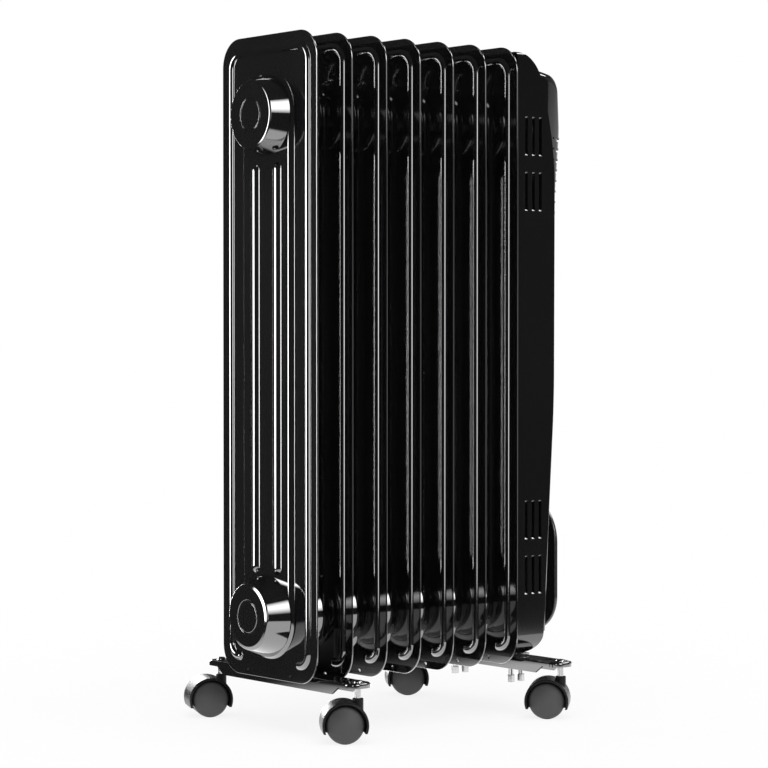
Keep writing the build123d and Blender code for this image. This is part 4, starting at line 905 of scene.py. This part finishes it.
# Casters: headed zinc stems riveted into the bars, a swivelling hood with a web, and two wheels on a pin, in a matt
# dark grey nylon with a fine moulded grain.
hood_plastic = new_finish(
    "caster_hood_plastic", {"IOR": 1.5, "Specular IOR Level": 0.08},
    colour=(30, 4, (0.007,) * 3, (0.012,) * 3), gloss=(0.34, 0.14, 500, 3), grain=(2600, 2, 1e-5),
)
wheel_plastic = new_finish(
    "caster_wheel_plastic", {"IOR": 1.5, "Specular IOR Level": 0.28},
    colour=(30, 4, (0.040, 0.040, 0.041), (0.053, 0.053, 0.054)), gloss=(0.46, 0.16, 500, 3), grain=(2600, 2, 2e-5),
)
caster_trail, wheel_radius, wheel_inner, wheel_tread, wheel_round, wheel_crown = 12.5, 17.2, 4.3, 13.6, 3.0, 3.6
wheel_chamfer, crown_shares = 1.0, (0.85, 0.7, 0.5, 0.3, 0)
hood_outer, hood_inner, hood_half, hood_web, hood_hem, hood_edge = 21.0, 18.9, 17.95, 8.0, 10.0, 1.6
hood_boss, hood_boss_top, hood_boss_round = 5.0, 40.0, 1.0
stem_radius, stem_hole_radius, stem_head_radius, stem_head_height, stem_inset = 3.0, 3.05, 4.5, 2.0, 8.0
caster_turns = {"end_left": 65.7, "end_right": 58.1, "front_left": 57.0, "front_right": 44.1}
bar_boxes = {"end": node_box("end_foot_bar"), "front": node_box("front_foot_bar")}

stems = bmesh.new()
stem_foot = node_box("caster_stems")[0].z
for low, high in bar_boxes.values():
    for side in (-1, 1):
        lathe(
            stems,
            [
                (stem_foot, 0), (stem_foot, stem_radius), (high.z, stem_radius), (high.z, stem_head_radius),
                *quarter((high.z, stem_head_radius - stem_head_height), stem_head_height, 90, -90),
                (high.z + stem_head_height, 0),
            ],
            ((low.x + high.x) / 2, side * (high.y - stem_inset), 0), Z_AXIS, 32,
        )
piece("riveted_stems", stems, zinc, ["caster_stems"])

axle_place = Vector((caster_trail, 0, wheel_radius))
hood = bmesh.new()
hood_side = quarter((hood_half - hood_edge, hood_outer - hood_edge), hood_edge, 90, -90, 4)
lathe(hood, both_sides([*hood_side, (hood_half, 0)]), axle_place, Y_AXIS, 72)
boss = bmesh.new()
boss_rim = quarter((hood_boss_top - hood_boss_round, hood_boss - hood_boss_round), hood_boss_round, 90, -90, 4)
lathe(boss, [(wheel_radius, 0), (wheel_radius, hood_boss), *boss_rim, (hood_boss_top, 0)], (0, 0, 0), Z_AXIS, 36)
hood = combine("UNION", hood, boss)
wells = bmesh.new()
for side in (-1, 1):
    web, outside = side * hood_web / 2, side * 2 * hood_half
    lathe(wells, [(web, 0), (web, hood_inner), (outside, hood_inner), (outside, 0)], axle_place, Y_AXIS, 72)
stem_hole, hole_top = bmesh.new(), 2 * hood_boss_top
hole_outline = [(wheel_radius, 0), (wheel_radius, stem_hole_radius), (hole_top, stem_hole_radius), (hole_top, 0)]
lathe(stem_hole, hole_outline, (0, 0, 0), Z_AXIS, 32)
below_hem = bmesh.new()
block(below_hem, (-far_x, -far_x, -far_x), (far_x, far_x, hood_hem))
hood = combine("DIFFERENCE", hood, wells, stem_hole, below_hem)

wheel = bmesh.new()
wheel_outer = wheel_inner + wheel_tread
wheel_rim = wheel_radius - wheel_round
lathe(
    wheel,
    [
        (wheel_inner, 0), (wheel_inner, wheel_radius - wheel_chamfer), (wheel_inner + wheel_chamfer, wheel_radius),
        *quarter((wheel_outer - wheel_crown - wheel_round, wheel_rim), wheel_round, 90, -75),
        *((wheel_outer - wheel_crown * share**2, wheel_rim * share) for share in crown_shares),
    ],
    axle_place, Y_AXIS, 72,
)

for caster, turn in caster_turns.items():
    bar_low, bar_high = bar_boxes[caster.split("_")[0]]
    side = 1 if caster.endswith("left") else -1
    trail = Vector((-sin(radians(turn)), cos(radians(turn)), 0))
    stand = Matrix.Translation(((bar_low.x + bar_high.x) / 2, side * (bar_high.y - stem_inset), 0)) @ Matrix(
        (trail, Z_AXIS.cross(trail), Z_AXIS)
    ).transposed().to_4x4()
    caster_hood = hood.copy()
    bmesh.ops.transform(caster_hood, matrix=stand, verts=caster_hood.verts)
    hood_node = f"caster_hood_{caster}"
    piece(f"moulded_hood_{caster}", caster_hood, hood_plastic, [hood_node], f"caster_{caster}")
    for letter, flip in (("a", 1), ("b", -1)):
        caster_wheel = wheel.copy()
        bmesh.ops.scale(caster_wheel, vec=(1, flip, 1), verts=caster_wheel.verts)
        bmesh.ops.transform(caster_wheel, matrix=stand, verts=caster_wheel.verts)
        bmesh.ops.recalc_face_normals(caster_wheel, faces=caster_wheel.faces)
        wheel_node = f"wheel_{caster}_{letter}"
        piece(f"moulded_{wheel_node}", caster_wheel, wheel_plastic, [wheel_node], wheel_node)
    coat_nodes(zinc, [f"caster_axle_{caster}"])
hood.free()
wheel.free()

# Electrics behind the panel: thermostat body, thermal cut-out, tilt switch and terminal block in matt black plastic,
# screwed to the mounting plate and hidden by the housing.
coat_nodes(matte_plastic, ["thermostat_body", "thermal_cutout", "tilt_switch", "terminal_block"])

# Studio: a pale floor under even white light. Reflections see a black drum far round the heater with upright light
# strips and one soft box on it, which draw the lines along the ribs and beads, and the near floor as a white pool.
scene = bpy.context.scene
scene.view_settings.view_transform = "Standard"


def stage(name, bm, finish):
    """Floor or screen that belongs to the studio."""
    made = new_object(name, bm, finish)
    return made


floor_whiteness, floor_size = 0.85, 40
floor_paint = new_finish(
    "studio_floor", {"Roughness": 0.9, "Specular IOR Level": 0.0}, colour=(3, 2, (0.92,) * 3, (0.94,) * 3)
)
tree = floor_paint.node_tree
paint = Wire(tree, tree.nodes["Principled BSDF"].outputs[0])
white = paint.node("ShaderNodeEmission", {}, {})
camera_ray = paint.node("ShaderNodeLightPath", {}, {}, output="Is Camera Ray")
shade = paint.node("ShaderNodeMixShader", {}, {0: camera_ray * floor_whiteness, 1: paint, 2: white})
shade.into(tree.nodes["Material Output"], "Surface")
floor = bmesh.new()
bmesh.ops.create_grid(floor, x_segments=1, y_segments=1, size=floor_size)
stage("studio_floor", floor, floor_paint).visible_glossy = False


def only_in_reflections(name, bm, glow, fade=None):
    """Screen that only reflections see; it may fade to another glow between two distances from a centre."""
    finish = bpy.data.materials.new(name)
    finish.use_nodes = True
    tree = finish.node_tree
    tree.nodes.remove(tree.nodes["Principled BSDF"])
    start, strength = Wire(tree, None), glow
    if fade:
        far_glow, axes, centre, near, far = fade
        place = start.node("ShaderNodeTexCoord", {}, {}, output="Object")
        place = place.node("ShaderNodeVectorMath", {"operation": "MULTIPLY"}, {0: place, 1: axes})
        reach = place.node("ShaderNodeVectorMath", {"operation": "DISTANCE"}, {0: place, 1: centre}, output="Value")
        strength = glow + (far_glow - glow) * reach.ramp(near, far)
    start.node("ShaderNodeEmission", {}, {"Strength": strength}).into(tree.nodes["Material Output"], "Surface")
    screen = stage(name, bm, finish)
    screen.visible_camera = screen.visible_diffuse = screen.visible_shadow = screen.visible_transmission = False


drum_radius, drum_low, drum_high, drum_glow = 6.0, -3.0, 11.0, 0.045
screen_radius, eye_height = 5.8, 0.365
strip_low, strip_high, strip_elevation, strip_squash, strip_half_width, strip_core = -18, 30, 2.5, 0.6, 13.0, 0.4


def on_drum(azimuth, elevation):
    """Point on the screens' circle, from its azimuth from +X and its elevation in degrees."""
    turn = radians(azimuth)
    rise = eye_height + screen_radius * tan(radians(elevation))
    return Vector((screen_radius * cos(turn), screen_radius * sin(turn), rise))


def upright(azimuth, half_width, low, high):
    """Upright screen round the heater, between two elevations."""
    bm = bmesh.new()
    verts = [bm.verts.new(on_drum(azimuth - half_width, elevation)) for elevation in (low, high)]
    edge = bm.edges.new(verts)
    steps = max(6, int(half_width / 2))
    bmesh.ops.spin(bm, geom=verts + [edge], cent=(0, 0, 0), axis=Z_AXIS, angle=radians(2 * half_width), steps=steps)
    return bm


def strip(name, azimuth, half_width, glow):
    """Tall light strip with soft edges."""
    width = screen_radius * radians(half_width)
    squash = Vector((1, 1, strip_squash * half_width / strip_half_width))
    middle = on_drum(azimuth, strip_elevation) * squash
    screen = upright(azimuth, half_width, strip_low, strip_high)
    only_in_reflections(name, screen, glow, (drum_glow, squash, middle, strip_core * width, width))


drum = bmesh.new()
bmesh.ops.create_cone(
    drum, cap_ends=True, segments=64, radius1=drum_radius, radius2=drum_radius, depth=drum_high - drum_low,
    matrix=Matrix.Translation((0, 0, (drum_high + drum_low) / 2)),
)
only_in_reflections("flag_drum", drum, drum_glow)
strip("strip_behind_left", 68, 9, glow=30.0)
strip("strip_left", 146, 13, glow=26.0)
strip("strip_camera", 222, 9, glow=8.0)
right_fade, box_fade = (0.2, (0, 0, 1), (0, 0, -2.0), 2.5, 3.3), (drum_glow, (1, 1, 1), on_drum(276, 26), 0.6, 2.6)
only_in_reflections("strip_behind_right", upright(5, 41, strip_low, strip_high), 1.6, right_fade)
only_in_reflections("soft_box", upright(276, 26, 6, 48), 15.0, box_fade)
only_in_reflections("top_light", upright(-21, 13, 37, 51), 12.0)
pool_centre, pool_squash, pool_size = Vector((0.145, -0.15, 0.001)), Vector((0.8, 1.25, 1)), 1.0
pool = bmesh.new()
bmesh.ops.create_grid(pool, x_segments=1, y_segments=1, size=pool_size, matrix=Matrix.Translation(pool_centre))
only_in_reflections("floor_pool", pool, 2.5, (drum_glow, pool_squash, pool_centre * pool_squash, 0.50, 0.64))

sun = bpy.data.objects.new("sun", bpy.data.lights.new("sun", "SUN"))
sun.data.energy, sun.data.angle = 1.4, radians(60)
sun.rotation_euler = Vector((0.4, 0.8, -2.2)).to_track_quat("-Z", "Y").to_euler()
sun.visible_glossy = False
scene.collection.objects.link(sun)

world = bpy.data.worlds.new("studio_world")
scene.world = world
world.use_nodes = True
world_level = 0.66
tree = world.node_tree
background = tree.nodes["Background"]
background.inputs["Color"].default_value = (1, 1, 1, 1)
rays = tree.nodes.new("ShaderNodeLightPath").outputs
seen = Wire(tree, rays["Is Camera Ray"]) + Wire(tree, rays["Is Glossy Ray"]) + Wire(tree, rays["Is Transmission Ray"])
seen = seen.node("ShaderNodeClamp", {}, {"Value": seen})
(world_level + seen * (1 - world_level)).into(background, "Strength")

# Camera: a long lens well off the end fin's corner, a little over half the heater's height up, that looks almost level
# from the photograph's side.
camera = bpy.data.objects.new("camera", bpy.data.cameras.new("camera"))
camera.data.sensor_width, camera.data.lens = 36, 122.6
camera_bearing, camera_pitch = radians(51.70), radians(1.084)
camera.location = (-1.5493, -1.9519, 0.3648)
level = cos(camera_pitch)
gaze = Vector((cos(camera_bearing) * level, sin(camera_bearing) * level, -sin(camera_pitch)))
camera.rotation_euler = gaze.to_track_quat("-Z", "Y").to_euler()
scene.collection.objects.link(camera)
scene.camera = camera
